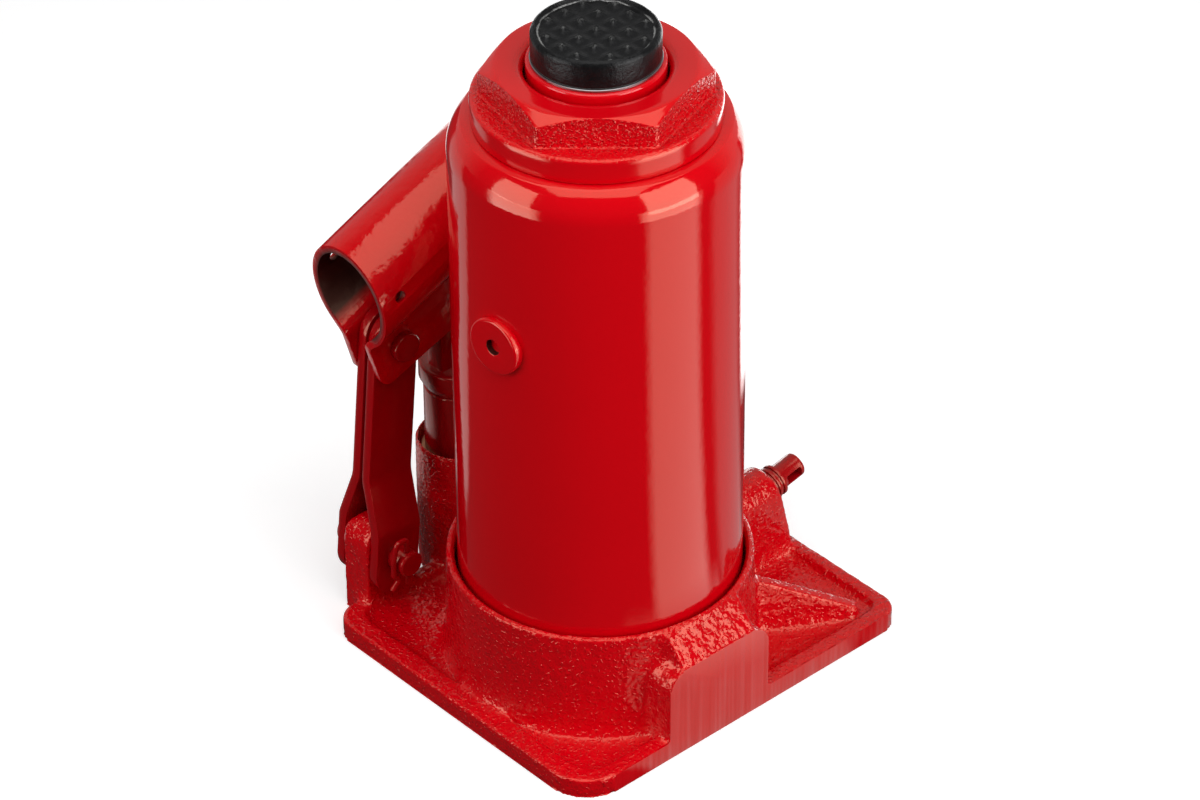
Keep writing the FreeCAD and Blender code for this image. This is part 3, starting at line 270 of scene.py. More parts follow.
def copied_mesh(node: str, flatten: bool) -> bpy.types.Mesh:
    """Copy a CAD node's mesh and merge its loose triangles.

    Args:
        node: Name of the CAD node.
        flatten: Whether triangles in one plane become one face.

    Returns:
        The copy.
    """
    shape = bmesh.new()
    shape.from_mesh(frame["nodes"][node].data)
    bmesh.ops.remove_doubles(shape, verts=shape.verts, dist=MERGE_REACH)
    if flatten:
        bmesh.ops.dissolve_limit(shape, angle_limit=FLAT_BEND, verts=shape.verts,
                                 edges=shape.edges)
    mesh = bpy.data.meshes.new(node + "_copy")
    shape.to_mesh(mesh)
    shape.free()
    for attribute in ("custom_normal", "sharp_face", "sharp_edge"):
        if attribute in mesh.attributes:
            mesh.attributes.remove(mesh.attributes[attribute])
    return mesh


def with_modifiers(name: str, mesh: bpy.types.Mesh,
                   kinds: list[tuple[str, dict[str, object]]]) -> bpy.types.Mesh:
    """Run a mesh through modifiers and keep the result.

    Args:
        name: Name of the result.
        mesh: The mesh to work on.
        kinds: Each modifier's type and settings, in order.

    Returns:
        The new mesh.
    """
    holder = bpy.data.objects.new(name + "_work", mesh)
    bpy.context.scene.collection.objects.link(holder)
    for kind, settings in kinds:
        modifier = holder.modifiers.new(kind, kind)
        for setting, value in settings.items():
            setattr(modifier, setting, value)
    bpy.context.view_layer.update()
    result = bpy.data.meshes.new_from_object(holder.evaluated_get(bpy.context.evaluated_depsgraph_get()))
    result.name = name
    bpy.data.objects.remove(holder)
    return result


def bevelled_copy(name: str, node: str, width: float) -> bpy.types.Object:
    """Copy a CAD node with every hard edge broken, as paint and tumbling leave it.

    Args:
        name: Name of the piece.
        node: The CAD node.
        width: Width of the broken edge.

    Returns:
        The piece.
    """
    bevel = {"width": width, "segments": 2, "limit_method": "ANGLE", "angle_limit": HARD_BEND,
             "use_clamp_overlap": True, "harden_normals": False, "miter_outer": "MITER_ARC"}
    mesh = with_modifiers(name, copied_mesh(node, True), [("BEVEL", bevel), ("TRIANGULATE", {})])
    return dressed_mesh(name, mesh, BROKEN_SHARP)


def read_points(mesh: bpy.types.Mesh, what: str = "co") -> np.ndarray:
    """Read what a mesh's points hold as one array.

    Args:
        mesh: The mesh.
        what: "co" for the points themselves, "normal" for their normals.

    Returns:
        One line of three numbers a point.
    """
    values = np.empty(len(mesh.vertices) * 3)
    mesh.vertices.foreach_get(what, values)
    return values.reshape(-1, 3)


def write_points(mesh: bpy.types.Mesh, points: np.ndarray) -> None:
    """Put points back into the mesh."""
    mesh.vertices.foreach_set("co", points.ravel())
    mesh.update()


def write_mask(mesh: bpy.types.Mesh, name: str, values: np.ndarray) -> None:
    """Store one number a point under a name that a material reads."""
    layer = mesh.attributes.new(name, "FLOAT", "POINT")
    layer.data.foreach_set("value", values.astype(np.float32))


def within(points: np.ndarray, place: Vector, way: Vector, radius: float) -> np.ndarray:
    """Say which points lie in a bore or on its wall.

    Args:
        points: The points.
        place: A point on the bore's axis.
        way: The axis's direction.
        radius: The bore's radius.

    Returns:
        1 for a point in the bore, 0 for the others.
    """
    off = points - np.array(place)
    off -= (off @ np.array(way))[:, None] * np.array(way)
    return (np.linalg.norm(off, axis=1) < radius + WALL_REACH).astype(float)


def relaxed(mesh: bpy.types.Mesh, free: np.ndarray, rounds: int, only_hollows: bool,
            normals_every: int = 8) -> None:
    """Round a mesh by moving each point towards the mean of its neighbours.

    In each round a point p moves by half of (mean - p), times its freedom. With only_hollows,
    it moves along its normal and only outwards, which fills the inner corners as a fillet does
    and leaves the outer ones alone.

    Args:
        mesh: The mesh, changed in place.
        free: Freedom of each point, from 0 to 1.
        rounds: Number of rounds.
        only_hollows: Whether only inner corners are filled.
        normals_every: The normals are worked out anew after this many rounds.
    """
    edges = np.empty(len(mesh.edges) * 2, dtype=np.int32)
    mesh.edges.foreach_get("vertices", edges)
    ends = edges.reshape(-1, 2)
    one, other = np.concatenate([ends[:, 0], ends[:, 1]]), np.concatenate([ends[:, 1], ends[:, 0]])
    count = np.maximum(np.bincount(one, minlength=len(mesh.vertices)), 1)[:, None]
    points = read_points(mesh)
    for turn in range(rounds):
        mean = np.stack([np.bincount(one, weights=points[other, axis], minlength=len(points))
                         for axis in range(3)], axis=-1) / count
        move = 0.5 * (mean - points)
        if only_hollows:
            if turn % normals_every == 0:
                write_points(mesh, points)
                normals = read_points(mesh, "normal")
            out = np.maximum((move * normals).sum(axis=1), 0)
            move = out[:, None] * normals
        points = points + move * free[:, None]
    write_points(mesh, points)


# ---------------------------------------------------------------- finishes
class Pattern(Enum):
    """What a relief is made of."""

    NOISE = "noise"
    LINES = "lines"
    CRESTS = "crests"


@dataclass(frozen=True)
class Relief:
    """A pattern that raises a surface.

    Args:
        size: Size of one grain in mm.
        depth: Its depth in mm.
        stretch: How much its pattern is squeezed along each axis. A small number draws lines.
        pattern: What it is made of.
        mask: Name of the piece's mask that says where it shows, or nothing for everywhere.
        inverse: Whether it shows where the mask is 0.
    """

    size: float
    depth: float
    stretch: tuple[float, float, float] = (1.0, 1.0, 1.0)
    pattern: Pattern = Pattern.NOISE
    mask: str = ""
    inverse: bool = False


@dataclass(frozen=True)
class Finish:
    """One finish of the jack, named for what it is made of.

    Args:
        name: Name of the material.
        slot: The record's material slot.
        colour: Its own colour.
        shade: The colour that it drifts to in patches.
        patch: Size of those patches in mm.
        roughness: From mirror, 0, to matt, 1.
        drift: How much the roughness varies.
        metallic: 1 for bare metal, 0 for paint, rubber and plastic.
        ior: Index of refraction. Metal keeps the default.
        tint: Colour of a reflection seen straight on. At a glancing angle it stays white.
        reliefs: Its relief patterns.
        worn: Colour where the piece's "wear" mask is 1: wear, and on the saddle's teeth a painted
            highlight.
        painted_shade: Painted shade: dark colour where the piece's "hidden" mask is 1, for a hole's shade.
        painted_above: Height in mm above which red enamel covers the piece, or None.
    """

    name: str
    slot: str
    colour: str
    shade: str
    patch: float
    roughness: float
    drift: float
    metallic: float = 0.0
    ior: float = 1.5
    tint: str = "#FFFFFF"
    reliefs: tuple[Relief, ...] = ()
    worn: str = ""
    painted_shade: str = ""
    painted_above: float | None = None

    def build(self) -> bpy.types.Material:
        """Make the material, once.

        Returns:
            The material, the same one each time.
        """
        if self.name in bpy.data.materials:
            return bpy.data.materials[self.name]
        material = bpy.data.materials.new(self.name)
        material.use_nodes = True
        tree = material.node_tree
        tree.nodes.clear()
        place = add_node(tree, "ShaderNodeTexCoord").outputs["Object"]
        patches = add_node(tree, "ShaderNodeTexNoise", {"Vector": place, "Detail": 3.0,
                                                        "Scale": 1 / (self.patch * MM)})
        colour = add_node(tree, "ShaderNodeMix", {"Factor": patches.outputs["Fac"],
                                                  "A": linear(self.colour), "B": linear(self.shade)},
                          data_type="RGBA").outputs["Result"]
        rough = add_node(tree, "ShaderNodeMapRange", {
            "Value": patches.outputs["Fac"], "From Min": 1 - PATCHY, "From Max": PATCHY,
            "To Min": self.roughness - self.drift, "To Max": self.roughness + self.drift})
        shader = add_node(tree, "ShaderNodeBsdfPrincipled", {
            "Base Color": colour, "Roughness": rough.outputs["Result"], "Metallic": self.metallic,
            "IOR": self.ior, "Specular Tint": linear(self.tint)})
        if self.worn:
            self.add_wear_and_highlight(tree, place, shader)
        # Painted shade: where the mask is 1, a dull dark red stands for the shade inside a bore or a hole.
        if self.painted_shade:
            mask = add_node(tree, "ShaderNodeAttribute", attribute_name="recess_shade").outputs["Fac"]
            self.blend(tree, shader, mask, linear(self.painted_shade), 0.0, PAINTED_RECESS_SHADE_ROUGHNESS)
        if self.painted_above is not None:
            self.add_paint_line(tree, place, shader)
        self.add_reliefs(tree, place, shader)
        add_node(tree, "ShaderNodeOutputMaterial", {"Surface": shader.outputs["BSDF"]})
        return material

    def add_reliefs(self, tree: bpy.types.NodeTree, place: bpy.types.NodeSocket,
                    shader: bpy.types.Node) -> None:
        """Chain one bump node a relief into the shader's normal.

        Args:
            tree: The material's node tree.
            place: The place on the piece.
            shader: The shader.
        """
        normal = None
        for relief in self.reliefs:
            stretched = add_node(tree, "ShaderNodeMapping", {"Vector": place, "Scale": relief.stretch})
            detail = 1.0 if relief.pattern is Pattern.NOISE else 0.0
            grains = add_node(tree, "ShaderNodeTexNoise", {
                "Vector": stretched.outputs["Vector"], "Scale": 1 / (relief.size * MM),
                "Detail": detail, "Roughness": 0.6})
            height = grains.outputs["Fac"]
            if relief.pattern is Pattern.CRESTS:
                height = add_node(tree, "ShaderNodeMapRange", {
                    "Value": height, "From Min": CREST_START, "From Max": CREST_FULL},
                    interpolation_type="SMOOTHSTEP").outputs["Result"]
            height = add_node(tree, "ShaderNodeMath", {0: height, 1: 0.5},
                              operation="SUBTRACT").outputs["Value"]
            if relief.mask:
                mask = add_node(tree, "ShaderNodeAttribute", attribute_name=relief.mask).outputs["Fac"]
                if relief.inverse:
                    mask = add_node(tree, "ShaderNodeMath", {0: 1.0, 1: mask},
                                    operation="SUBTRACT").outputs["Value"]
                height = add_node(tree, "ShaderNodeMath", {0: height, 1: mask},
                                  operation="MULTIPLY").outputs["Value"]
            bump = {"Height": height, "Strength": 1.0, "Distance": relief.depth * MM}
            if normal is not None:
                bump["Normal"] = normal
            normal = add_node(tree, "ShaderNodeBump", bump).outputs["Normal"]
        if normal is not None:
            tree.links.new(normal, shader.inputs["Normal"])

    def add_wear_and_highlight(self, tree: bpy.types.NodeTree, place: bpy.types.NodeSocket,
                 shader: bpy.types.Node) -> None:
        """Show bare metal as wear, and on the saddle's teeth as a painted highlight, where mask and noise
        say.

        Args:
            tree: The material's node tree.
            place: The place on the piece.
            shader: The shader.
        """
        mask = add_node(tree, "ShaderNodeAttribute", attribute_name="wear").outputs["Fac"]
        specks = add_node(tree, "ShaderNodeTexNoise", {
            "Vector": place, "Scale": 1 / (WORN_SPECK * MM), "Detail": 4.0})
        rubbed = add_node(tree, "ShaderNodeMath", {0: mask, 1: specks.outputs["Fac"]},
                          operation="MULTIPLY")
        amount = add_node(tree, "ShaderNodeMapRange", {
            "Value": rubbed.outputs["Value"], "From Min": WORN_START, "From Max": WORN_FULL})
        self.blend(tree, shader, amount.outputs["Result"], linear(self.worn), WORN_METALLIC,
                   WORN_ROUGHNESS)

    def add_paint_line(self, tree: bpy.types.NodeTree, place: bpy.types.NodeSocket,
                       shader: bpy.types.Node) -> None:
        """Cover the piece with red enamel above a height, where the spray gun reached it.

        Args:
            tree: The material's node tree.
            place: The place on the piece.
            shader: The shader.
        """
        height = add_node(tree, "ShaderNodeSeparateXYZ", {"Vector": place}).outputs["Z"]
        amount = add_node(tree, "ShaderNodeMapRange", {
            "Value": height, "From Min": (self.painted_above - PAINT_EDGE) * MM,
            "From Max": (self.painted_above + PAINT_EDGE) * MM})
        self.blend(tree, shader, amount.outputs["Result"], linear(ENAMEL_RED), 0.0, GLOSS_ROUGHNESS)

    @staticmethod
    def blend(tree: bpy.types.NodeTree, shader: bpy.types.Node, amount: bpy.types.NodeSocket,
              colour: tuple[float, float, float, float], metallic: float, roughness: float) -> None:
        """Mix another surface into the shader.

        Args:
            tree: The material's node tree.
            shader: The shader.
            amount: How much of the other surface shows, from 0 to 1.
            colour: The other surface's colour.
            metallic: Its metallic.
            roughness: Its roughness.
        """
        under = shader.inputs["Base Color"].links[0].from_socket
        mixed = add_node(tree, "ShaderNodeMix", {"Factor": amount, "A": under, "B": colour},
                         data_type="RGBA")
        tree.links.new(mixed.outputs["Result"], shader.inputs["Base Color"])
        rough = shader.inputs["Roughness"].links[0].from_socket
        for socket, before, after in (("Roughness", rough, roughness),
                                      ("Metallic", shader.inputs["Metallic"].default_value, metallic)):
            level = add_node(tree, "ShaderNodeMix", {"Factor": amount, "A": before, "B": after},
                             data_type="FLOAT")
            tree.links.new(level.outputs["Result"], shader.inputs[socket])


# A smooth noise hardly goes above this, or below 1 less this.
PATCHY = 0.7
# Alkyd enamel: a deep red whose gloss looks warm straight on and white at its rims.
ENAMEL_RED = "#CE000F"
GLOSS_TINT = "#FFCFB2"
GLOSS_IOR = 1.62
GLOSS_ROUGHNESS = 0.14
# Its lower edge on the ram is blurred by this much to either side, in mm.
PAINT_EDGE = 0.3
# Painted shade: a dull dark red stands for the shade in the socket's bore and the plug's blind hole.
PAINTED_RECESS_SHADE = "#2A0204"
PAINTED_RECESS_SHADE_ROUGHNESS = 0.5
# Bare iron as wear, and on the saddle's teeth as a painted highlight, in specks of this size in mm.
WORN_METALLIC = 0.85
WORN_ROUGHNESS = 0.38
WORN_SPECK = 0.7
# The wear mask times the specks' noise shows metal from the first number, and only metal from the
# second.
WORN_START = 0.1
WORN_FULL = 0.6
# Only the peaks of the noise rise as crests: they start and are full at these heights of 0 to 1.
CREST_START = 0.57
CREST_FULL = 0.74
# Sprayed alkyd enamel on smooth steel: a deep even red with a wet gloss, an orange peel of about
# 3 mm and, under it, the long waves of the drawn tube, which bend the edges of a reflection.
ENAMEL_ON_STEEL = Finish("sprayed_enamel_on_steel", "gloss_red", ENAMEL_RED, "#C6000D", 45.0, 0.08, 0.01,
                         ior=GLOSS_IOR, tint=GLOSS_TINT, painted_shade=PAINTED_RECESS_SHADE,
                         reliefs=(Relief(2.4, 0.03), Relief(14.0, 0.08, (1.0, 1.0, 0.5))))
# The same enamel on pressed steel: more orange peel, as thin sheet is sprayed cold.
ENAMEL_ON_SHEET = Finish("sprayed_enamel_on_sheet", "gloss_red", ENAMEL_RED, "#C0000D", 30.0, 0.13, 0.02,
                         ior=GLOSS_IOR, tint=GLOSS_TINT, painted_shade=PAINTED_RECESS_SHADE,
                         reliefs=(Relief(1.8, 0.09), Relief(5.0, 0.20)))
# The same enamel, a little dry, on the small linkage pieces, painted darker red as their shade.
LINKAGE_ENAMEL_WITH_PAINTED_SHADE = Finish("sprayed_enamel_on_linkage_with_painted_shade", "linkage_red", "#A8000B", "#96000A", 18.0, 0.20,
                           0.04, ior=GLOSS_IOR, tint=GLOSS_TINT, painted_shade=PAINTED_RECESS_SHADE,
                           reliefs=(Relief(1.4, 0.05),))
# The same enamel on sand cast iron: it lies in soft dimples of about 2.4 mm and glints on grains of
# 1 mm. On the milled faces the cutter's lines show through as upright streaks of 1.6 and 5 mm.
ENAMEL_ON_CASTING = Finish("sprayed_enamel_on_cast_iron", "cast_red", ENAMEL_RED, "#BE000D", 14.0, 0.10,
                           0.03, ior=GLOSS_IOR, tint=GLOSS_TINT,
                           reliefs=(Relief(2.4, 0.42, mask="milled", inverse=True),
                                    Relief(1.1, 0.15, pattern=Pattern.CRESTS, mask="milled",
                                           inverse=True),
                                    Relief(1.6, 0.22, (1.0, 1.0, 0.03), Pattern.LINES, "milled"),
                                    Relief(5.0, 0.60, (1.0, 1.0, 0.10), Pattern.LINES, "milled")))
# The same enamel on the forged and turned nut: pits of about 1 mm, left by the scale, on its flats,
# and a smooth skin where it was turned.
ENAMEL_ON_FORGING = Finish("sprayed_enamel_on_forged_nut", "cast_red", ENAMEL_RED, "#C6000D", 20.0, 0.12,
                           0.03, ior=GLOSS_IOR, tint=GLOSS_TINT,
                           reliefs=(Relief(1.2, 0.60, mask="milled", inverse=True),
                                    Relief(0.8, 0.34, pattern=Pattern.CRESTS, mask="milled",
                                           inverse=True), Relief(2.0, 0.02)))
# Black phosphated iron saddle: a dull near-black that reflects little, rubbed to grey metal along
# its rim, and a little on its teeth, where the grey is also a painted highlight.
PHOSPHATED_IRON = Finish("phosphated_cast_iron", "saddle_black", "#0C0C0D", "#131314", 3.0, 0.34, 0.06,
                         ior=1.26, reliefs=(Relief(0.6, 0.08), Relief(2.4, 0.20)), worn="#B0B0AE")
# Turned and oiled carbon steel: fine tool rings about 0.3 mm apart.
TURNED_STEEL = Finish("turned_carbon_steel", "bright_steel", "#A6A7A8", "#8E8F91", 6.0, 0.30, 0.05,
                      metallic=1.0, reliefs=(Relief(0.3, 0.012, (0.05, 0.05, 1.0), Pattern.LINES),))
# Ground and hard-chromed ram: almost a mirror, with the enamel on its top end.
GROUND_CHROME = Finish("ground_hard_chrome", "ground_chrome", "#C6C7C9", "#BCBDC0", 20.0, 0.12, 0.03,
                       metallic=1.0, reliefs=(Relief(0.25, 0.003, (0.05, 0.05, 1.0), Pattern.LINES),),
                       painted_above=214.0)
# Oil-tempered spring wire: dark, faintly drawn along its length.
TEMPERED_WIRE = Finish("oil_tempered_spring_wire", "spring_steel", "#5C5C5E", "#4A4A4C", 2.0, 0.34, 0.05,
                       metallic=1.0, reliefs=(Relief(0.2, 0.006),))
# Annealed copper sealing washer: soft, pink and slightly dulled.
ANNEALED_COPPER = Finish("annealed_copper", "copper_washer", "#C98B6B", "#A96F52", 4.0, 0.36, 0.06,
                         metallic=1.0, reliefs=(Relief(0.4, 0.006),))
# Moulded nitrile rubber: black, matt, with a faint moulding grain.
NITRILE_RUBBER = Finish("moulded_nitrile_rubber", "seal_rubber", "#161616", "#1D1D1D", 5.0, 0.62, 0.06,
                        reliefs=(Relief(0.4, 0.010),))
# Phenolic-resin wear band: brown, machined, dry.
PHENOLIC_BAND = Finish("machined_phenolic_band", "wear_band", "#5A4A3C", "#4C3E32", 3.0, 0.55, 0.06,
                       reliefs=(Relief(0.5, 0.010),))


def middle_of(node: str) -> Vector:
    """Work out the middle of a CAD node's box."""
    low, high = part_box(node)
    return (low + high) / 2


def placed(piece: bpy.types.Object, body: str, finish: Finish, *nodes: str) -> bpy.types.Object:
    """Dress a finished piece, let it ride on its body and hide the CAD nodes that it replaces.

    Args:
        piece: The finished object.
        body: The CAD body that it moves with.
        finish: Its finish.
        *nodes: The CAD nodes that it replaces.

    Returns:
        The piece.
    """
    piece.data.materials.clear()
    piece.data.materials.append(finish.build())
    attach(piece, body)
    if nodes:
        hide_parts(*nodes)
    LOG.info("%s rides on %s, %d faces", piece.name, body, len(piece.data.polygons))
    return piece


# ---------------------------------------------------------------- base
@dataclass
class BaseCasting:
    """Sand cast base: plate with its rim, collar, pad, rib, bosses and lug.

    Args:
        voxel: Size of the cells that the casting is remeshed with.
        grain: Size of the sand's largest grains.
        depth: How deep they are pressed in.
        seed: Picks their pattern.
        most_triangles: The mesh is thinned to this many.
        edge_rounds: Rounds of smoothing that soften every edge.
        fillet_rounds: Rounds that only fill the inner corners.
        collar_inside: Radius up to which the collar's mouth is turned.
        mouth_floor: Height that the mouth is turned down to.
        pump_boss: Radius within which the pump boss's top is faced.
        pump_bore: Radius within which it is bored.
        nearness: How near to a face a point lies on it, over voxel.
        sharp: Edges bent by more than this many degrees stay sharp.
    """

    voxel: float = 0.62 * MM
    grain: float = 2.2 * MM
    depth: float = 0.42 * MM
    seed: int = 3
    most_triangles: int = 190000
    edge_rounds: int = 5
    fillet_rounds: int = 64
    collar_inside: float = 46.9 * MM
    mouth_floor: float = 12.0 * MM
    pump_boss: float = 15.0 * MM
    pump_bore: float = 12.9 * MM
    nearness: float = 0.4
    sharp: float = 50.0

    def build(self) -> None:
        """Remesh a copy of the casting finely, round it, and press the sand's grain into it."""
        low, high = (np.array(corner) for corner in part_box("base_casting"))
        settings = {"mode": "VOXEL", "voxel_size": self.voxel, "adaptivity": 0.0}
        mesh = with_modifiers("cast_base", copied_mesh("base_casting", False), [("REMESH", settings)])
        points = read_points(mesh)
        milled = self.machined(points, low, high)
        relaxed(mesh, 1 - milled, self.edge_rounds, False)
        relaxed(mesh, 1 - milled, self.fillet_rounds, True)
        points = read_points(mesh)
        relief = self.depth * sand_relief(points, self.grain, self.seed) * (1 - milled)
        points = points - read_points(mesh, "normal") * relief[:, None]
        write_points(mesh, np.clip(points, low, high))
        write_mask(mesh, "milled", milled)
        share = min(1.0, self.most_triangles / (2 * len(mesh.polygons)))
        mesh = with_modifiers("cast_base", mesh, [("DECIMATE", {"ratio": share})])
        placed(dressed_mesh("cast_base", mesh, self.sharp), "base", ENAMEL_ON_CASTING, "base_casting")

    def machined(self, points: np.ndarray, low: np.ndarray, high: np.ndarray) -> np.ndarray:
        """Say which points lie on a machined face.

        Args:
            points: The points of the casting.
            low: Lowest corner of its box.
            high: Highest corner of its box.

        Returns:
            1 on the front face, the sole, the collar's mouth and the pump boss's top and bore,
            0 elsewhere.
        """
        near = self.nearness * self.voxel
        pump_axis = middle_of("pump_barrel").y
        radius = np.hypot(points[:, 0], points[:, 1])
        pump = np.hypot(points[:, 0], points[:, 1] - pump_axis)
        front = points[:, 1] < low[1] + near
        sole = points[:, 2] < low[2] + near
        mouth = (radius < self.collar_inside) & (points[:, 2] > self.mouth_floor)
        top = (pump < self.pump_boss) & (points[:, 2] > high[2] - near)
        return (front | sole | mouth | top | (pump < self.pump_bore)).astype(float)


# ---------------------------------------------------------------- tank and nut
@dataclass
class Reservoir:
    """Oil tank: a drawn tube with a rounded shoulder, its filler plug and the plug's seal.

    Args:
        wall: Thickness of the tube.
        shoulder_height: Height of the rounded shoulder.
        shoulder_radius: Radius of its arc.
        shoulder_steps: Number of points on the arc.
        mouth: Radius of the hole in its top.
        lip_gap: Least height between the mouth's inner corner and the next point.
        foot_edge: How far its lower edge is broken.
        row_spacing: Distance between rows of points on its wall.
        sharp: Edges bent by more than this many degrees stay sharp.
        dimple: Radius of the blind hole in the filler plug.
        filler_turn: The plug's turn from the -X axis.
        plug_edge: Width of the plug's broken edges.
        seal_edge: Width of its seal's.
        around: Number of steps in a turn.
    """

    wall: float = 2.5 * MM
    shoulder_height: float = 10.3 * MM
    shoulder_radius: float = 14.3 * MM
    shoulder_steps: int = 25
    mouth: float = 35.0 * MM
    lip_gap: float = 0.05 * MM
    foot_edge: float = 0.3 * MM
    row_spacing: float = 3.0 * MM
    sharp: float = 50.0
    dimple: float = 2.5 * MM
    filler_turn: float = math.radians(6.0)
    plug_edge: float = 0.25 * MM
    seal_edge: float = 0.3 * MM
    around: int = 256

    def build(self) -> None:
        """Make the tank, the filler plug and its seal."""
        self.tank()
        self.filler()

    def tank(self) -> None:
        """Turn the tank's wall about its axis.

        The shoulder is the arc (m + r cos a, s + r sin a), with r its radius, and the wall's
        inner side is the same arc a wall's thickness further in.
        """
        low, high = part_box("reservoir_tank")
        radius = high.x
        angle = np.linspace(0, math.asin(self.shoulder_height / self.shoulder_radius), self.shoulder_steps)
        start = high.z - self.shoulder_height
        middle = radius - self.shoulder_radius
        outer = np.stack([middle + self.shoulder_radius * np.cos(angle),
                          start + self.shoulder_radius * np.sin(angle)], axis=-1)
        inner = outer - self.wall * np.stack([np.cos(angle), np.sin(angle)], axis=-1)
        edge = self.foot_edge
        side = np.array([[radius - self.wall, low.z], [radius - edge, low.z], [radius, low.z + edge],
                         [radius, low.z + 2 * edge]])
        lip = np.array([[self.mouth, high.z], [self.mouth, high.z - self.wall]])
        inside = inner[inner[:, 1] < high.z - self.wall - self.lip_gap][::-1]
        wall = spaced(np.stack([side[-1], outer[0]]), self.row_spacing)[1:-1]
        profile = np.concatenate([side, wall, outer, lip, inside])
        points, faces = turned_surface(profile, self.around, True)
        placed(new_piece("oil_tank", points, faces, self.sharp), "base", ENAMEL_ON_STEEL,
               "reservoir_tank")

    def filler(self) -> None:
        """Copy the filler plug and its seal, and mark the plug's blind hole for the painted shade."""
        cap = placed(bevelled_copy("filler_cap", "filler_plug", self.plug_edge), "base",
                     ENAMEL_ON_STEEL, "filler_plug")
        way = Vector((-math.cos(self.filler_turn), -math.sin(self.filler_turn), 0))
        middle = Vector((0, 0, middle_of("filler_plug").z))
        # The plug's blind hole gets the painted shade: a dull dark red for the shade inside it.
        write_mask(cap.data, "recess_shade", within(read_points(cap.data), middle, way, self.dimple))
        placed(bevelled_copy("filler_grommet", "filler_seal", self.seal_edge), "base",
               ENAMEL_ON_STEEL, "filler_seal")


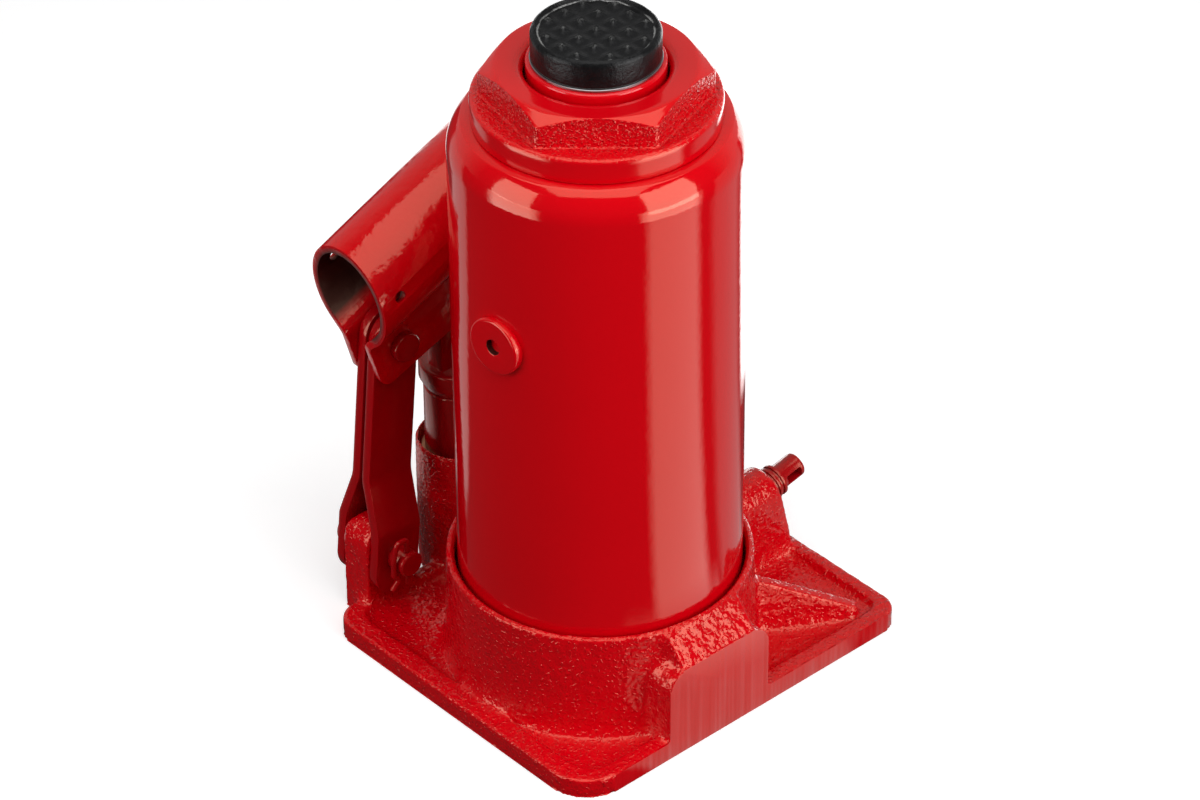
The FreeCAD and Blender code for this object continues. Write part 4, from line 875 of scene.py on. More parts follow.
@dataclass
class TopNut:
    """Forged hexagon nut on a turned flange, with its crown chamfered and its flats left rough.

    Args:
        flange: Radius of the flange.
        flange_height: Its height over the tank.
        across_flats: Width of the hexagon.
        turn: Angle of one of its flats in degrees.
        chamfer_start: Radius at which the crown's cone starts.
        chamfer_slope: Slope of the cone in degrees.
        crown_edge: How far in and up the cone's edge is rounded over the flats.
        mouth: Radius of the mouth.
        countersink: Depth of its countersink.
        lip: Radius of the lip over the wiper's groove.
        groove_top: Height of the groove's upper side.
        wiper_seat: Height of its lower side.
        guide: Radius of the bore that guides the ram.
        stop_gap: Room left over the cylinder, where the piston stops.
        edge: Radius of the flange's upper edge.
        edge_rough: How rough that edge is for each radian that it has bent.
        root: Radius at the foot of the flats.
        foot_edge: How far the flange's lower edge is broken.
        thread: Radius of the thread on the cylinder.
        skirt: Radius of the skirt in the tank's mouth.
        around: Number of steps in a turn.
        spacing: Distance between rows of points where the nut is rough.
        smooth_spacing: The same where it is smooth, as a multiple.
        bend_steps: Number of rows over a rounded edge.
        corner_blend: Number of steps in a turn over which a corner of the hexagon is blended, odd.
        grain: Size of the largest pits.
        depth: Their depth.
        seed: Picks their pattern.
        sharp: Edges bent by more than this many degrees stay sharp.
    """

    flange: float = 37.4 * MM
    flange_height: float = 8.4 * MM
    across_flats: float = 60.8 * MM
    turn: float = 48.0
    chamfer_start: float = 30.0 * MM
    chamfer_slope: float = 34.0
    crown_edge: tuple[float, float] = (0.4 * MM, 0.25 * MM)
    mouth: float = 22.95 * MM
    countersink: float = 1.6 * MM
    lip: float = 21.4 * MM
    groove_top: float = 208.7 * MM
    wiper_seat: float = 203.5 * MM
    guide: float = 20.85 * MM
    stop_gap: float = 0.05 * MM
    edge: float = 1.4 * MM
    edge_rough: float = 0.3
    root: float = 0.6 * MM
    foot_edge: float = 0.5 * MM
    thread: float = 27.03 * MM
    skirt: float = 33.4 * MM
    around: int = 540
    spacing: float = 0.36 * MM
    smooth_spacing: int = 3
    bend_steps: int = 5
    corner_blend: int = 5
    grain: float = 1.3 * MM
    depth: float = 0.34 * MM
    seed: int = 11
    sharp: float = 46.0

    def build(self) -> None:
        """Work the nut out on a grid of angle and place along its section, then roughen it."""
        points, rough = self.surface()
        relief = self.depth * sand_relief(points, self.grain, self.seed) * rough
        steps = len(points) // self.around
        grid = points.reshape(steps, self.around, 3)
        along = np.roll(grid, -1, axis=0) - np.roll(grid, 1, axis=0)
        across = np.roll(grid, -1, axis=1) - np.roll(grid, 1, axis=1)
        normal = np.cross(across, along).reshape(-1, 3)
        normal /= np.maximum(np.linalg.norm(normal, axis=1), 1e-12)[:, None]
        points = points - normal * relief[:, None]
        faces = grid_faces(steps, self.around, True).tolist()
        piece = new_piece("crown_nut", points, faces, self.sharp)
        write_mask(piece.data, "milled", 1 - rough)
        placed(piece, "base", ENAMEL_ON_FORGING, "top_nut")

    def surface(self) -> tuple[np.ndarray, np.ndarray]:
        """Carry the nut's section round the axis, its hexagon's radius changing with the angle.

        A face of the hexagon that looks along angle f has the radius (a / 2) / cos(angle - f),
        with a the width across flats, and the crown's cone has the height top - (r - c) tan(s).

        Returns:
            The points, section by section, and how rough each is, from 0 to 1.
        """
        angle = np.arange(self.around) / self.around * 2 * math.pi
        rows = self.rows(angle)
        points, rough = [], []
        for start, end in zip(rows, rows[1:] + rows[:1]):
            reach = np.hypot(end[0] - start[0], end[1] - start[1]).max()
            spacing = self.spacing * (1 if max(start[2], end[2]) > 0 else self.smooth_spacing)
            steps = max(2, math.ceil(reach / spacing))
            share = (np.arange(steps) / steps)[:, None]
            radius = start[0] * (1 - share) + end[0] * share
            height = start[1] * (1 - share) + end[1] * share
            points.append(np.stack([radius * np.cos(angle), radius * np.sin(angle), height], axis=-1))
            level = start[2] * (1 - share) + end[2] * share
            rough.append(np.broadcast_to(level, radius.shape))
        points = np.concatenate(points)
        points[:] = 0.25 * np.roll(points, 1, axis=0) + 0.5 * points + 0.25 * np.roll(points, -1, axis=0)
        return points.reshape(-1, 3), np.concatenate(rough).ravel()

    def rows(self, angle: np.ndarray) -> list[tuple[np.ndarray, np.ndarray, float]]:
        """List the section's corners in order.

        Args:
            angle: The angles round the nut.

        Returns:
            For each corner its radius and height at every angle, and its roughness.
        """
        low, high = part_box("top_nut")
        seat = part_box("reservoir_tank")[1].z
        ledge, flange, foot_edge = seat + self.flange_height, self.flange, self.foot_edge
        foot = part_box("pressure_cylinder")[1].z + self.stop_gap
        sixth = math.pi / 3
        off = (angle - math.radians(self.turn) + sixth / 2) % sixth - sixth / 2
        hexagon = self.across_flats / 2 / np.cos(off)
        kernel = np.ones(self.corner_blend) / self.corner_blend
        half = self.corner_blend // 2
        hexagon = np.convolve(np.concatenate([hexagon[-half:], hexagon, hexagon[:half]]), kernel, "valid")
        crown = high.z - (hexagon - self.chamfer_start) * math.tan(math.radians(self.chamfer_slope))
        bends = np.linspace(0, math.pi / 2, self.bend_steps)
        edge = [(flange - self.edge * (1 - math.cos(bend)), ledge - self.edge * (1 - math.sin(bend)),
                 self.edge_rough * bend) for bend in bends]
        root = [(hexagon + self.root * (1 - math.sin(bend)), ledge + self.root * (1 - math.cos(bend)), 1.0)
                for bend in bends]
        corners = [(self.thread, low.z, 0.0), (self.skirt, low.z, 0.0), (self.skirt, seat, 0.0),
                   (flange - foot_edge, seat, 0.0), (flange, seat + foot_edge, 0.0),
                   *edge, *root, (hexagon, crown, 1.0),
                   (hexagon - self.crown_edge[0], crown + self.crown_edge[1], 0.0),
                   (self.chamfer_start, high.z, 0.0),
                   (self.mouth, high.z, 0.0), (self.lip, high.z - self.countersink, 0.0),
                   (self.lip, self.groove_top, 0.0), (self.mouth, self.groove_top, 0.0),
                   (self.mouth, self.wiper_seat, 0.0), (self.guide, self.wiper_seat, 0.0),
                   (self.guide, foot, 0.0), (self.thread, foot, 0.0)]
        ones = np.ones(self.around)
        return [(radius * ones, height * ones, rough) for radius, height, rough in corners]


# ---------------------------------------------------------------- ram, screw and saddle
@dataclass
class RamHead:
    """Extension screw with its thread, and the saddle on it.

    Args:
        tooth_pitch: Distance between the saddle's teeth.
        tooth_height: Their height.
        tooth_tip: Share of half a pitch that stays flat at a tip.
        saddle_edge: Radius of the saddle's upper edge.
        saddle_flatness: How much flatter that edge is than a circle.
        saddle_foot: How far its lower edge is broken.
        rim_fade: Distance over which the teeth run out at the rim.
        row_spacing: Distance between rows of points under the saddle, on its side and on its top.
        wear_width: Half the width of the worn lines along the rim and the foot.
        rim_place: How far inside the saddle's side the rim's line lies, over saddle_edge.
        rim_wear: How strongly the rim is worn.
        rim_least: The patches' noise below which it isn't worn at all.
        low_reach: How far inside the saddle's side the foot's line can reach.
        wear_patch: Size of the patches in which the rim is worn.
        wear_seed: Picks those patches.
        tip_wear_and_highlight: How much the teeth's tips are worn and painted lighter as a highlight.
        tip_reach: How far that wear and painted highlight reaches, as a share of half a pitch.
        pitch: Pitch of the thread.
        crest: Radius of its crests.
        thread_depth: Its depth.
        crest_share: Half the width of a crest as a share of the pitch.
        flank_share: Width of a flank as a share of the pitch.
        thread_start: Height at which the thread's rows start, over the screw's foot.
        thread_end: How far below the ram's top they end.
        deepen_from: Height over the foot at which the thread starts to deepen.
        deepen_to: Depth below the ram's top at which it has run out.
        run_out: Length over which it reaches its full depth.
        thread_spacing: Distance between rows of points along it.
        foot: Radius of the head at the screw's lower end.
        foot_height: Height of that head.
        foot_edge: How far its edges are broken.
        relief: Radius of the turned groove between foot and thread.
        neck: Radius of the neck between thread and collar.
        collar_gap: Room between the ram's top and the collar.
        collar_under: How far the collar's lower edge is cut in, and the height over the ram at
            which that ends.
        collar_edge: How far its upper edge is broken.
        collar_height: Height of its top over the ram.
        spigot: Radius of the spigot that holds the saddle.
        spigot_height: Its height.
        spigot_edge: How far its edge is broken.
        bend_steps: Number of rows over the saddle's upper edge.
        around: Number of steps round the saddle.
        screw_around: Number of steps round the screw.
        saddle_sharp: The saddle's edges bent by more than this many degrees stay sharp.
        screw_sharp: The same for the screw.
    """

    tooth_pitch: float = 6.7 * MM
    tooth_height: float = 1.5 * MM
    tooth_tip: float = 0.07
    saddle_edge: float = 2.4 * MM
    saddle_flatness: float = 0.8
    saddle_foot: float = 0.6 * MM
    rim_fade: float = 0.9 * MM
    row_spacing: tuple[float, float, float] = (2.0 * MM, 0.8 * MM, 0.17 * MM)
    wear_width: float = 0.25 * MM
    rim_place: float = 0.95
    rim_wear: float = 3.0
    rim_least: float = 0.2
    low_reach: float = 1.0 * MM
    wear_patch: float = 3.0 * MM
    wear_seed: int = 5
    tip_wear_and_highlight: float = 0.30
    tip_reach: float = 0.45
    pitch: float = 5.0 * MM
    crest: float = 14.98 * MM
    thread_depth: float = 1.9 * MM
    crest_share: float = 0.13
    flank_share: float = 0.2
    thread_start: float = 6.0 * MM
    thread_end: float = 1.6 * MM
    deepen_from: float = 7.0 * MM
    deepen_to: float = 3.0 * MM
    run_out: float = 3.0 * MM
    thread_spacing: float = 0.32 * MM
    foot: float = 14.1 * MM
    foot_height: float = 1.1 * MM
    foot_edge: float = 0.2 * MM
    relief: float = 12.5 * MM
    neck: float = 13.9 * MM
    collar_gap: float = 0.06 * MM
    collar_under: tuple[float, float] = (0.1 * MM, 0.2 * MM)
    collar_edge: float = 0.15 * MM
    collar_height: float = 0.9 * MM
    spigot: float = 8.9 * MM
    spigot_height: float = 3.9 * MM
    spigot_edge: float = 0.4 * MM
    bend_steps: int = 12
    around: int = 288
    screw_around: int = 120
    saddle_sharp: float = 60.0
    screw_sharp: float = 35.0

    def build(self) -> None:
        """Make the saddle and the screw."""
        self.saddle()
        self.screw()

    def saddle(self) -> None:
        """Turn the cap, then press rows of pyramids into its top.

        At (x, y), with u and v the distances from the nearest tooth's middle over half a pitch,
        the top is lower by the tooth's height times 1 - (1 - m)^2, with m^4 = u^4 + v^4.
        """
        low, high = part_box("saddle")
        radius, edge, foot = high.x, self.saddle_edge, self.saddle_foot
        under_spacing, side_spacing, top_spacing = self.row_spacing
        bend = np.linspace(0, math.pi / 2, self.bend_steps)
        fall = edge * self.saddle_flatness
        corner = np.stack([radius - edge + edge * np.cos(bend) ** self.saddle_flatness,
                           high.z - fall + fall * np.sin(bend)], axis=-1)
        under = np.array([[0, low.z], [radius - foot, low.z]])
        broken = np.array([[radius - foot / 3, low.z + foot / 4], [radius, low.z + foot]])
        side = np.stack([broken[-1], corner[0]])
        top = np.array([[radius - edge, high.z], [0, high.z]])
        profile = np.concatenate([spaced(under, under_spacing), broken,
                                  spaced(side, side_spacing)[1:-1], corner,
                                  spaced(top, top_spacing)[1:]])
        points, faces = turned_surface(profile, self.around, False)
        away = np.abs((points[:, :2] / self.tooth_pitch + 0.5) % 1 - 0.5) * 2
        middle = (away ** 4).sum(axis=1) ** 0.25
        sunk = 1 - (1 - np.clip((middle - self.tooth_tip) / (1 - self.tooth_tip), 0, 1)) ** 2
        out = np.hypot(points[:, 0], points[:, 1])
        inside = np.clip((radius - edge / 2 - out) / self.rim_fade, 0, 1)
        upper = points[:, 2] > high.z - edge
        points[:, 2] -= np.where(upper, self.tooth_height * sunk * inside, 0)
        piece = new_piece("saddle_cap", points, faces, self.saddle_sharp)
        rim = np.exp(-((out - (radius - self.rim_place * edge)) / self.wear_width) ** 2) * upper
        low_line = np.exp(-((points[:, 2] - low.z) / self.wear_width) ** 2) * (
            out > radius - self.low_reach)
        patch = lattice_noise(points, self.wear_patch, self.wear_seed)
        # The teeth's tips: wear, and lighter grey as a painted highlight.
        tips = self.tip_wear_and_highlight * np.exp(-(middle / self.tip_reach) ** 2) * upper * inside
        rubbed = rim * self.rim_wear * (patch - self.rim_least)
        write_mask(piece.data, "wear", np.clip(rubbed + low_line + tips, 0, 1))
        placed(piece, "screw", PHOSPHATED_IRON, "saddle")

    def screw(self) -> None:
        """Cut a trapezoid thread into the screw: the radius falls with the helix's phase.

        The phase is height over pitch minus angle over a turn, and its distance from the nearest
        whole number, cut off at both ends, is the share of the thread's depth.
        """
        low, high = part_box("extension_screw")
        collar, top = high.x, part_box("ram")[1].z
        first, last = low.z + self.thread_start, top - self.thread_end
        steps = math.ceil((last - first) / self.thread_spacing)
        thread = np.stack([np.full(steps, self.crest), np.linspace(first, last, steps)], axis=-1)
        edge, head = self.foot_edge, low.z + self.foot_height
        foot = np.array([[0, low.z], [self.foot - edge, low.z], [self.foot, low.z + edge],
                         [self.foot, head], [self.relief, head + edge / 2],
                         [self.relief, first - 1.5 * edge]])
        cut_in, under_top = self.collar_under
        shelf, tip = top + self.collar_height, top + self.collar_height + self.spigot_height
        end = np.array([[self.neck, last + edge], [self.neck, top + self.collar_gap],
                        [collar - cut_in, top + self.collar_gap], [collar, top + under_top],
                        [collar, shelf - self.collar_edge], [collar - self.collar_edge, shelf],
                        [self.spigot, shelf], [self.spigot, tip - self.spigot_edge],
                        [self.spigot - self.spigot_edge, tip], [0, tip]])
        points, faces = turned_surface(np.concatenate([foot, thread, end]), self.screw_around, False)
        radius = np.hypot(points[:, 0], points[:, 1])
        phase = points[:, 2] / self.pitch - np.arctan2(points[:, 1], points[:, 0]) / (2 * math.pi)
        fall = np.clip((np.abs(phase - np.round(phase)) - self.crest_share) / self.flank_share, 0, 1)
        from_ends = np.minimum(points[:, 2] - low.z - self.deepen_from,
                               top - self.deepen_to - points[:, 2])
        on_thread = (radius > self.crest - MERGE_REACH) & (points[:, 2] < last + edge / 2)
        cut = self.thread_depth * fall * np.clip(from_ends / self.run_out, 0, 1) * on_thread
        points[:, :2] *= (1 - cut / np.maximum(radius, MERGE_REACH))[:, None]
        placed(new_piece("lifting_screw", points, faces, self.screw_sharp), "screw", TURNED_STEEL,
               "extension_screw")


# ---------------------------------------------------------------- pump and linkage
class Stock(Enum):
    """What a piece of the pump or its linkage is made from."""

    SHEET = "sheet"
    BAR = "bar"
    PIN = "pin"
    WIRE = "wire"


@dataclass
class PumpLinkage:
    """Pressed socket, links, pins, pump and valve: sheared and turned pieces with broken edges.

    Args:
        sheet_edge: Width of the broken edges on pieces of sheet.
        bar_edge: The same on pieces of bar.
        pin_edge: The same on pins and small turned pieces. Wire has none.
        pieces: Each piece's name, CAD node, body and stock.
    """

    sheet_edge: float = 0.55 * MM
    bar_edge: float = 0.4 * MM
    pin_edge: float = 0.25 * MM
    pieces: tuple[tuple[str, str, str, Stock], ...] = (
        ("socket_shell", "handle_socket", "socket", Stock.SHEET),
        ("near_link", "front_link", "links", Stock.BAR),
        ("far_link", "rear_link", "links", Stock.BAR),
        ("foot_pin", "anchor_pin", "base", Stock.PIN),
        ("hairpin_clip", "anchor_pin_clip", "base", Stock.WIRE),
        ("pivot_pin", "fulcrum_pin", "socket", Stock.PIN),
        ("lift_pin", "plunger_pin", "socket", Stock.PIN),
        ("plunger_rod", "pump_plunger", "plunger", Stock.BAR),
        ("pump_cylinder", "pump_barrel", "base", Stock.PIN),
        ("valve_spindle", "release_spindle", "release_valve", Stock.PIN))

    def build(self) -> None:
        """Copy each piece with broken edges."""
        widths = {Stock.SHEET: self.sheet_edge, Stock.BAR: self.bar_edge, Stock.PIN: self.pin_edge,
                  Stock.WIRE: 0.0}
        for name, node, body, stock in self.pieces:
            finish = ENAMEL_ON_SHEET if stock is Stock.SHEET else LINKAGE_ENAMEL_WITH_PAINTED_SHADE
            piece = placed(bevelled_copy(name, node, widths[stock]), body, finish, node)
            # The socket's bore gets the painted shade: a dull dark red for the shade inside it.
            if stock is Stock.SHEET:
                write_mask(piece.data, "recess_shade", self.bore(read_points(piece.data)))

    def bore(self, points: np.ndarray) -> np.ndarray:
        """Say which points lie in the socket's bore, which gets the painted shade.

        Args:
            points: The socket's points.

        Returns:
            1 for a point in the bore, 0 for the others.
        """
        mount = next(m for m in frame["record"]["mounts"] if m["name"] == "handle_bore")
        return within(points, Vector(mount["pos_m"]), Vector(mount["axis"]), mount["dims"]["r_mm"] * MM)


# ---------------------------------------------------------------- pieces kept from the CAD
@dataclass
class KeptPieces:
    """Inner and small pieces whose CAD shape is right: they only get their finish.

    Args:
        finishes: The finish of each slot.
        smooth_red: The finish of the turned plug that is sprayed with the casting.
    """

    finishes: tuple[Finish, ...] = (
        ENAMEL_ON_STEEL, LINKAGE_ENAMEL_WITH_PAINTED_SHADE, PHOSPHATED_IRON, TURNED_STEEL, GROUND_CHROME, TEMPERED_WIRE,
        ANNEALED_COPPER, NITRILE_RUBBER, PHENOLIC_BAND)
    smooth_red: Finish = LINKAGE_ENAMEL_WITH_PAINTED_SHADE

    def build(self) -> None:
        """Give each CAD node that still shows the finish of its slot."""
        by_slot = {finish.slot: finish for finish in self.finishes}
        by_slot[ENAMEL_ON_CASTING.slot] = self.smooth_red
        for part in frame["record"]["subparts"]:
            node = frame["nodes"][part["node"]]
            if node.hide_render:
                continue
            node.data.materials.clear()
            node.data.materials.append(by_slot[part["material_slot"]].build())
            LOG.info("%s keeps its CAD shape", node.name)


# ---------------------------------------------------------------- studio
@dataclass(frozen=True)
class Card:
    """A bright card on the studio's table, as the jack's gloss shows it.

    Args:
        start: Where it starts, in degrees round the jack from the camera, positive to its right.
        end: Where it ends.
        glow: How bright it is, where 1 is white paper.
        soft: Half the width of its soft edges in degrees.
    """

    start: float
    end: float
    glow: float
    soft: float = 1.5


@dataclass(frozen=True)
class Softbox:
    """An upright softbox that faces the jack.

    Args:
        name: Name of the lamp.
        turn: Its middle, in degrees round the jack from the camera, positive to its right.
        width: Its width in metres.
        low: Height of its lower edge.
        high: Height of its upper edge.
        glow: How bright its cloth is, where 1 is white paper.
    """

    name: str
    turn: float
    width: float
    low: float
    high: float
    glow: float


@dataclass
class Studio:
    """Pale table with its cards, softboxes, white backdrop and the camera.

    Args:
        azimuth: The camera's turn round the jack in degrees.
        elevation: Its tilt over the table.
        roll: Its roll.
        distance: Its distance from the CAD's origin.
        rise: How far it is moved up its own picture.
        shift: How far it is moved to the right.
        lens: Its focal length in mm.
        sensor: Width of its sensor in mm.
        floor_size: Width of the floor.
        floor_drop: How far it lies below the jack's sole.
        floor_glow: How much it glows, so that it stays white to the eye.
        paper: Its colour to the eye.
        table: Its colour to the rays that light the jack.
        reach: Distance of the upright softboxes.
        top_height: Height of the softbox overhead.
        top_forward: How far it hangs towards the camera.
        top_size: Its width.
        top_glow: How bright its cloth is, where 1 is white paper.
        room_glow: How bright the room is.
        table_glow: How bright the table is in the jack's gloss, between the cards.
        backdrop_glow: How bright the backdrop is in the gloss.
        backdrop_edge: Where it fades in: the cosine of the angle from its middle, start and end.
        card_scale: The cards' glow over the colour that stands for it, since a colour ends at 1.
        ring_edge: Half the width of the soft edge between two rings.
        rings: The rings of cards, each with its inner radius.
        softboxes: The upright softboxes.
    """

    azimuth: float = -41.86
    elevation: float = 35.9
    roll: float = -0.44
    distance: float = 1.57406
    rise: float = 0.078577
    shift: float = -0.000282
    lens: float = 149.45
    sensor: float = 36.0
    floor_size: float = 6.0
    floor_drop: float = 0.2 * MM
    floor_glow: float = 0.35
    paper: str = "#F4F4F4"
    table: str = "#585858"
    reach: float = 0.9
    top_height: float = 1.25
    top_forward: float = 0.46
    top_size: float = 1.5
    top_glow: float = 2.2
    room_glow: float = 0.07
    table_glow: float = 0.05
    backdrop_glow: float = 0.5
    backdrop_edge: tuple[float, float] = (0.1, 0.5)
    card_scale: float = 4.0
    ring_edge: float = 0.012
    rings: tuple[tuple[float, tuple[Card, ...]], ...] = (
        (0.0, (Card(15, 88, 0.9), Card(92, 130, 0.45))),
        (0.095, (Card(36, 78, 1.9, 3.0), Card(92, 130, 0.45, 4.0))),
        (0.12, (Card(-142, -112, 0.7), Card(36, 78, 1.9, 3.0), Card(92, 130, 0.45, 4.0))),
        (0.17, (Card(-200, -158, 1.2), Card(-138, -113, 0.6), Card(36, 78, 1.9, 3.0),
                Card(92, 128, 0.45, 4.0), Card(134, 200, 4.0, 3.0))),
        (0.40, (Card(-200, -158, 1.2), Card(-138, -113, 0.6), Card(-81, -44, 4.8, 4.0),
                Card(32, 76, 4.8, 4.0), Card(92, 128, 0.45), Card(134, 200, 4.0))))
    softboxes: tuple[Softbox, ...] = (Softbox("right_softbox", 55.0, 0.66, 0.0, 0.92, 4.5),
                                      Softbox("left_softbox", -63.0, 0.52, 0.12, 0.78, 4.0))

    def build(self) -> None:
        """Set up everything round the jack."""
        bpy.context.scene.view_settings.view_transform = "Standard"
        self.camera()
        self.floor()
        self.world()
        self.lamps()

    def axes(self) -> tuple[Vector, Vector, Vector]:
        """Work out how the camera is turned.

        Returns:
            Its right, up and back directions.
        """
        turn, tilt, roll = (math.radians(a) for a in (self.azimuth, self.elevation, self.roll))
        back = Vector((math.sin(turn) * math.cos(tilt), -math.cos(turn) * math.cos(tilt), math.sin(tilt)))
        right = Vector((math.cos(turn), math.sin(turn), 0))
        up = back.cross(right)
        return (right * math.cos(roll) + up * math.sin(roll), up * math.cos(roll) - right * math.sin(roll),
                back)

    def camera(self) -> None:
        """Place the camera on its line of sight."""
        right, up, back = self.axes()
        data = bpy.data.cameras.new("camera")
        data.lens = self.lens
        data.sensor_width = self.sensor
        camera = bpy.data.objects.new("camera", data)
        place = back * self.distance + right * self.shift + up * self.rise
        turned = Matrix((right, up, back)).transposed().to_4x4()
        camera.matrix_world = Matrix.Translation(place) @ turned
        bpy.context.scene.collection.objects.link(camera)
        bpy.context.scene.camera = camera

    def floor(self) -> None:
        """Lay a plain pale floor.

        The eye sees white paper with a soft shadow, the gloss sees the cards, and every other ray
        sees a dim table.
        """
        half = self.floor_size / 2
        points = np.array([[x, y, -self.floor_drop] for x, y in ((-half, -half), (half, -half),
                                                                 (half, half), (-half, half))])
        floor = new_piece("studio_floor", points, [[0, 1, 2, 3]])
        material = bpy.data.materials.new("matt_white_paper")
        material.use_nodes = True
        tree = material.node_tree
        tree.nodes.clear()
        ray = add_node(tree, "ShaderNodeLightPath")
        white = add_node(tree, "ShaderNodeBsdfDiffuse", {"Color": linear(self.paper)})
        glow = add_node(tree, "ShaderNodeEmission", {"Color": linear("#FFFFFF"),
                                                     "Strength": self.floor_glow})
        paper = add_node(tree, "ShaderNodeAddShader", {0: white.outputs["BSDF"],
                                                       1: glow.outputs["Emission"]})
        dim = add_node(tree, "ShaderNodeBsdfDiffuse", {"Color": linear(self.table)})
        lit = add_node(tree, "ShaderNodeMixShader", {0: self.seen(tree, ray), 1: dim.outputs["BSDF"],
                                                     2: paper.outputs["Shader"]})
        cards = add_node(tree, "ShaderNodeEmission", {"Color": self.card_light(tree),
                                                      "Strength": self.card_scale})
        result = add_node(tree, "ShaderNodeMixShader", {0: ray.outputs["Is Glossy Ray"],
                                                        1: lit.outputs["Shader"],
                                                        2: cards.outputs["Emission"]})
        add_node(tree, "ShaderNodeOutputMaterial", {"Surface": result.outputs["Shader"]})
        floor.data.materials.append(material)

    @staticmethod
    def seen(tree: bpy.types.NodeTree, ray: bpy.types.Node) -> bpy.types.NodeSocket:
        """Tell the eye's rays, and those that passed through glass, from the others.

        Args:
            tree: The node tree.
            ray: Its Light Path node.

        Returns:
            1 for such a ray, 0 for the others.
        """
        return add_node(tree, "ShaderNodeMath", {0: ray.outputs["Is Camera Ray"],
                                                 1: ray.outputs["Is Transmission Ray"]},
                        operation="MAXIMUM").outputs["Value"]

    def card_light(self, tree: bpy.types.NodeTree) -> bpy.types.NodeSocket:
        """Work out the cards' glow from the place on the table.

        The distance from the jack picks the ring, and the angle round the jack the card in it.

        Args:
            tree: The floor's node tree.

        Returns:
            The glow as a grey colour, over card_scale.
        """
        place = add_node(tree, "ShaderNodeTexCoord").outputs["Object"]
        turned = add_node(tree, "ShaderNodeMapping", {
            "Vector": place, "Rotation": (0.0, 0.0, math.radians(90 - self.azimuth))})
        angle = add_node(tree, "ShaderNodeTexGradient", {"Vector": turned.outputs["Vector"]},
                         gradient_type="RADIAL").outputs["Fac"]
        away = add_node(tree, "ShaderNodeVectorMath", {0: place}, operation="LENGTH").outputs["Value"]
        light = None
        for edge, cards in self.rings:
            ring = self.card_ring(tree, angle, cards)
            if light is not None:
                beyond = add_node(tree, "ShaderNodeMapRange", {
                    "Value": away, "From Min": edge - self.ring_edge, "From Max": edge + self.ring_edge})
                ring = add_node(tree, "ShaderNodeMix", {"Factor": beyond.outputs["Result"], "A": light,
                                                        "B": ring}, data_type="RGBA").outputs["Result"]
            light = ring
        return light

    def card_ring(self, tree: bpy.types.NodeTree, angle: bpy.types.NodeSocket,
                  cards: tuple[Card, ...]) -> bpy.types.NodeSocket:
        """Turn an angle from 0 to 1, with the camera at a half, into the cards' glow.

        Args:
            tree: The floor's node tree.
            angle: The angle's socket.
            cards: The cards in order, the first and the last behind the jack.

        Returns:
            The glow as a grey colour, over card_scale.
        """
        ramp = add_node(tree, "ShaderNodeValToRGB", {"Fac": angle})
        stops = ramp.color_ramp.elements
        behind = max((card.glow for card in cards if card.end > 180), default=self.table_glow)
        for end in stops:
            end.color = self.grey(behind)
        for card in cards:
            for place, glow in ((card.start - card.soft, self.table_glow),
                                (card.start + card.soft, card.glow), (card.end - card.soft, card.glow),
                                (card.end + card.soft, self.table_glow)):
                if abs(place) < 180:
                    stops.new(0.5 + place / 360).color = self.grey(glow)
        return ramp.outputs["Color"]

    def grey(self, glow: float) -> tuple[float, float, float, float]:
        """Turn a card's glow into the grey colour that stands for it."""
        return (glow / self.card_scale,) * 3 + (1.0,)

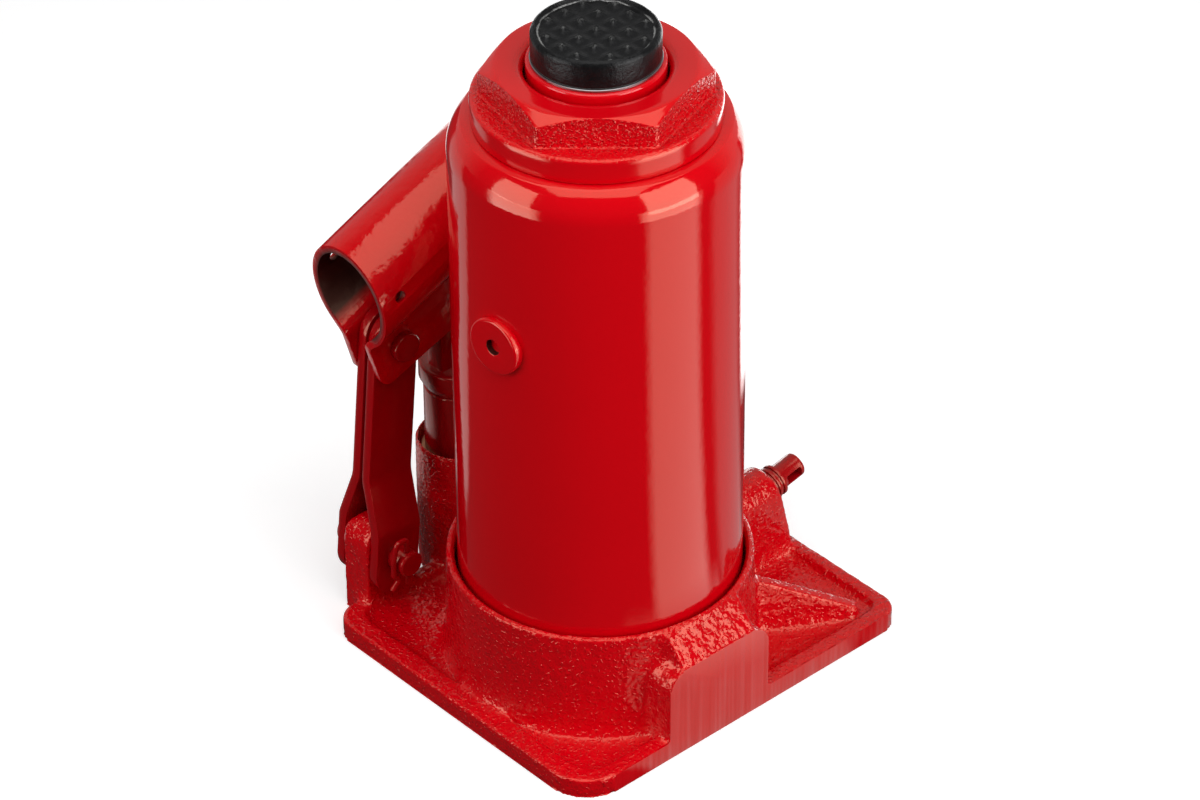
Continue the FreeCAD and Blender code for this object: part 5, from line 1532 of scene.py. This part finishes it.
    def world(self) -> None:
        """Make the backdrop white to the eye and, behind the jack, to its gloss, and the rest dim."""
        world = bpy.data.worlds.new("studio_world")
        bpy.context.scene.world = world
        world.use_nodes = True
        tree = world.node_tree
        tree.nodes.clear()
        ray = add_node(tree, "ShaderNodeLightPath")
        seen = self.seen(tree, ray)
        way = add_node(tree, "ShaderNodeTexCoord").outputs["Generated"]
        back = self.axes()[2]
        level = Vector((back.x, back.y, 0)).normalized()
        ahead = add_node(tree, "ShaderNodeVectorMath", {0: way, 1: -level}, operation="DOT_PRODUCT")
        behind = add_node(tree, "ShaderNodeMapRange", {
            "Value": ahead.outputs["Value"], "From Min": self.backdrop_edge[0],
            "From Max": self.backdrop_edge[1]})
        mirrored = add_node(tree, "ShaderNodeMath", {0: behind.outputs["Result"],
                                                     1: ray.outputs["Is Glossy Ray"]},
                            operation="MULTIPLY")
        white = add_node(tree, "ShaderNodeMath", {0: seen, 1: mirrored.outputs["Value"]},
                         operation="MAXIMUM")
        room = add_node(tree, "ShaderNodeBackground", {"Color": linear("#FFFFFF"),
                                                       "Strength": self.room_glow})
        level_of_white = add_node(tree, "ShaderNodeMix", {
            "Factor": seen, "A": self.backdrop_glow, "B": 1.0}, data_type="FLOAT")
        backdrop = add_node(tree, "ShaderNodeBackground", {"Color": linear("#FFFFFF"),
                                                           "Strength": level_of_white.outputs["Result"]})
        mixed = add_node(tree, "ShaderNodeMixShader", {0: white.outputs["Value"],
                                                       1: room.outputs["Background"],
                                                       2: backdrop.outputs["Background"]})
        add_node(tree, "ShaderNodeOutputWorld", {"Surface": mixed.outputs["Shader"]})

    def lamps(self) -> None:
        """Hang one softbox overhead and stand the others round the jack."""
        right = self.axes()[0]
        level = Vector((right.x, right.y, 0)).normalized()
        above = Vector((0, 0, 1))
        place = above.cross(level) * -self.top_forward + above * self.top_height
        self.lamp("top_softbox", place, above, level, (self.top_size, self.top_size), self.top_glow)
        for box in self.softboxes:
            angle = math.radians(self.azimuth - 90 + box.turn)
            way = Vector((math.cos(angle), math.sin(angle), 0))
            place = way * self.reach + above * (box.low + box.high) / 2
            self.lamp(box.name, place, way, above.cross(way), (box.width, box.high - box.low), box.glow)

    @staticmethod
    def lamp(name: str, place: Vector, way: Vector, side: Vector, size: tuple[float, float],
             glow: float) -> None:
        """Hang one rectangular lamp, whose power follows from its size and the glow of its cloth.

        Args:
            name: Name of the lamp.
            place: Its middle.
            way: The direction from what it lights to the lamp.
            side: The direction of its width, level and square to way.
            size: Its width and height in metres.
            glow: How bright its cloth is, where 1 is white paper.
        """
        data = bpy.data.lights.new(name, "AREA")
        data.shape = "RECTANGLE"
        data.size, data.size_y = size
        data.energy = glow * math.pi * size[0] * size[1]
        lamp = bpy.data.objects.new(name, data)
        turned = Matrix((side, way.cross(side), way)).transposed().to_4x4()
        lamp.matrix_world = Matrix.Translation(place) @ turned
        lamp.visible_camera = False
        bpy.context.scene.collection.objects.link(lamp)


def main() -> None:
    """Build every sub-assembly, then the studio."""
    logging.basicConfig(level=logging.INFO, format="%(name)s: %(message)s")
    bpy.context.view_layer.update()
    builders: list[Callable[[], None]] = [
        BaseCasting().build, Reservoir().build, TopNut().build, RamHead().build, PumpLinkage().build,
        KeptPieces().build, Studio().build]
    for build in builders:
        build()


if __name__ == "__main__":
    main()
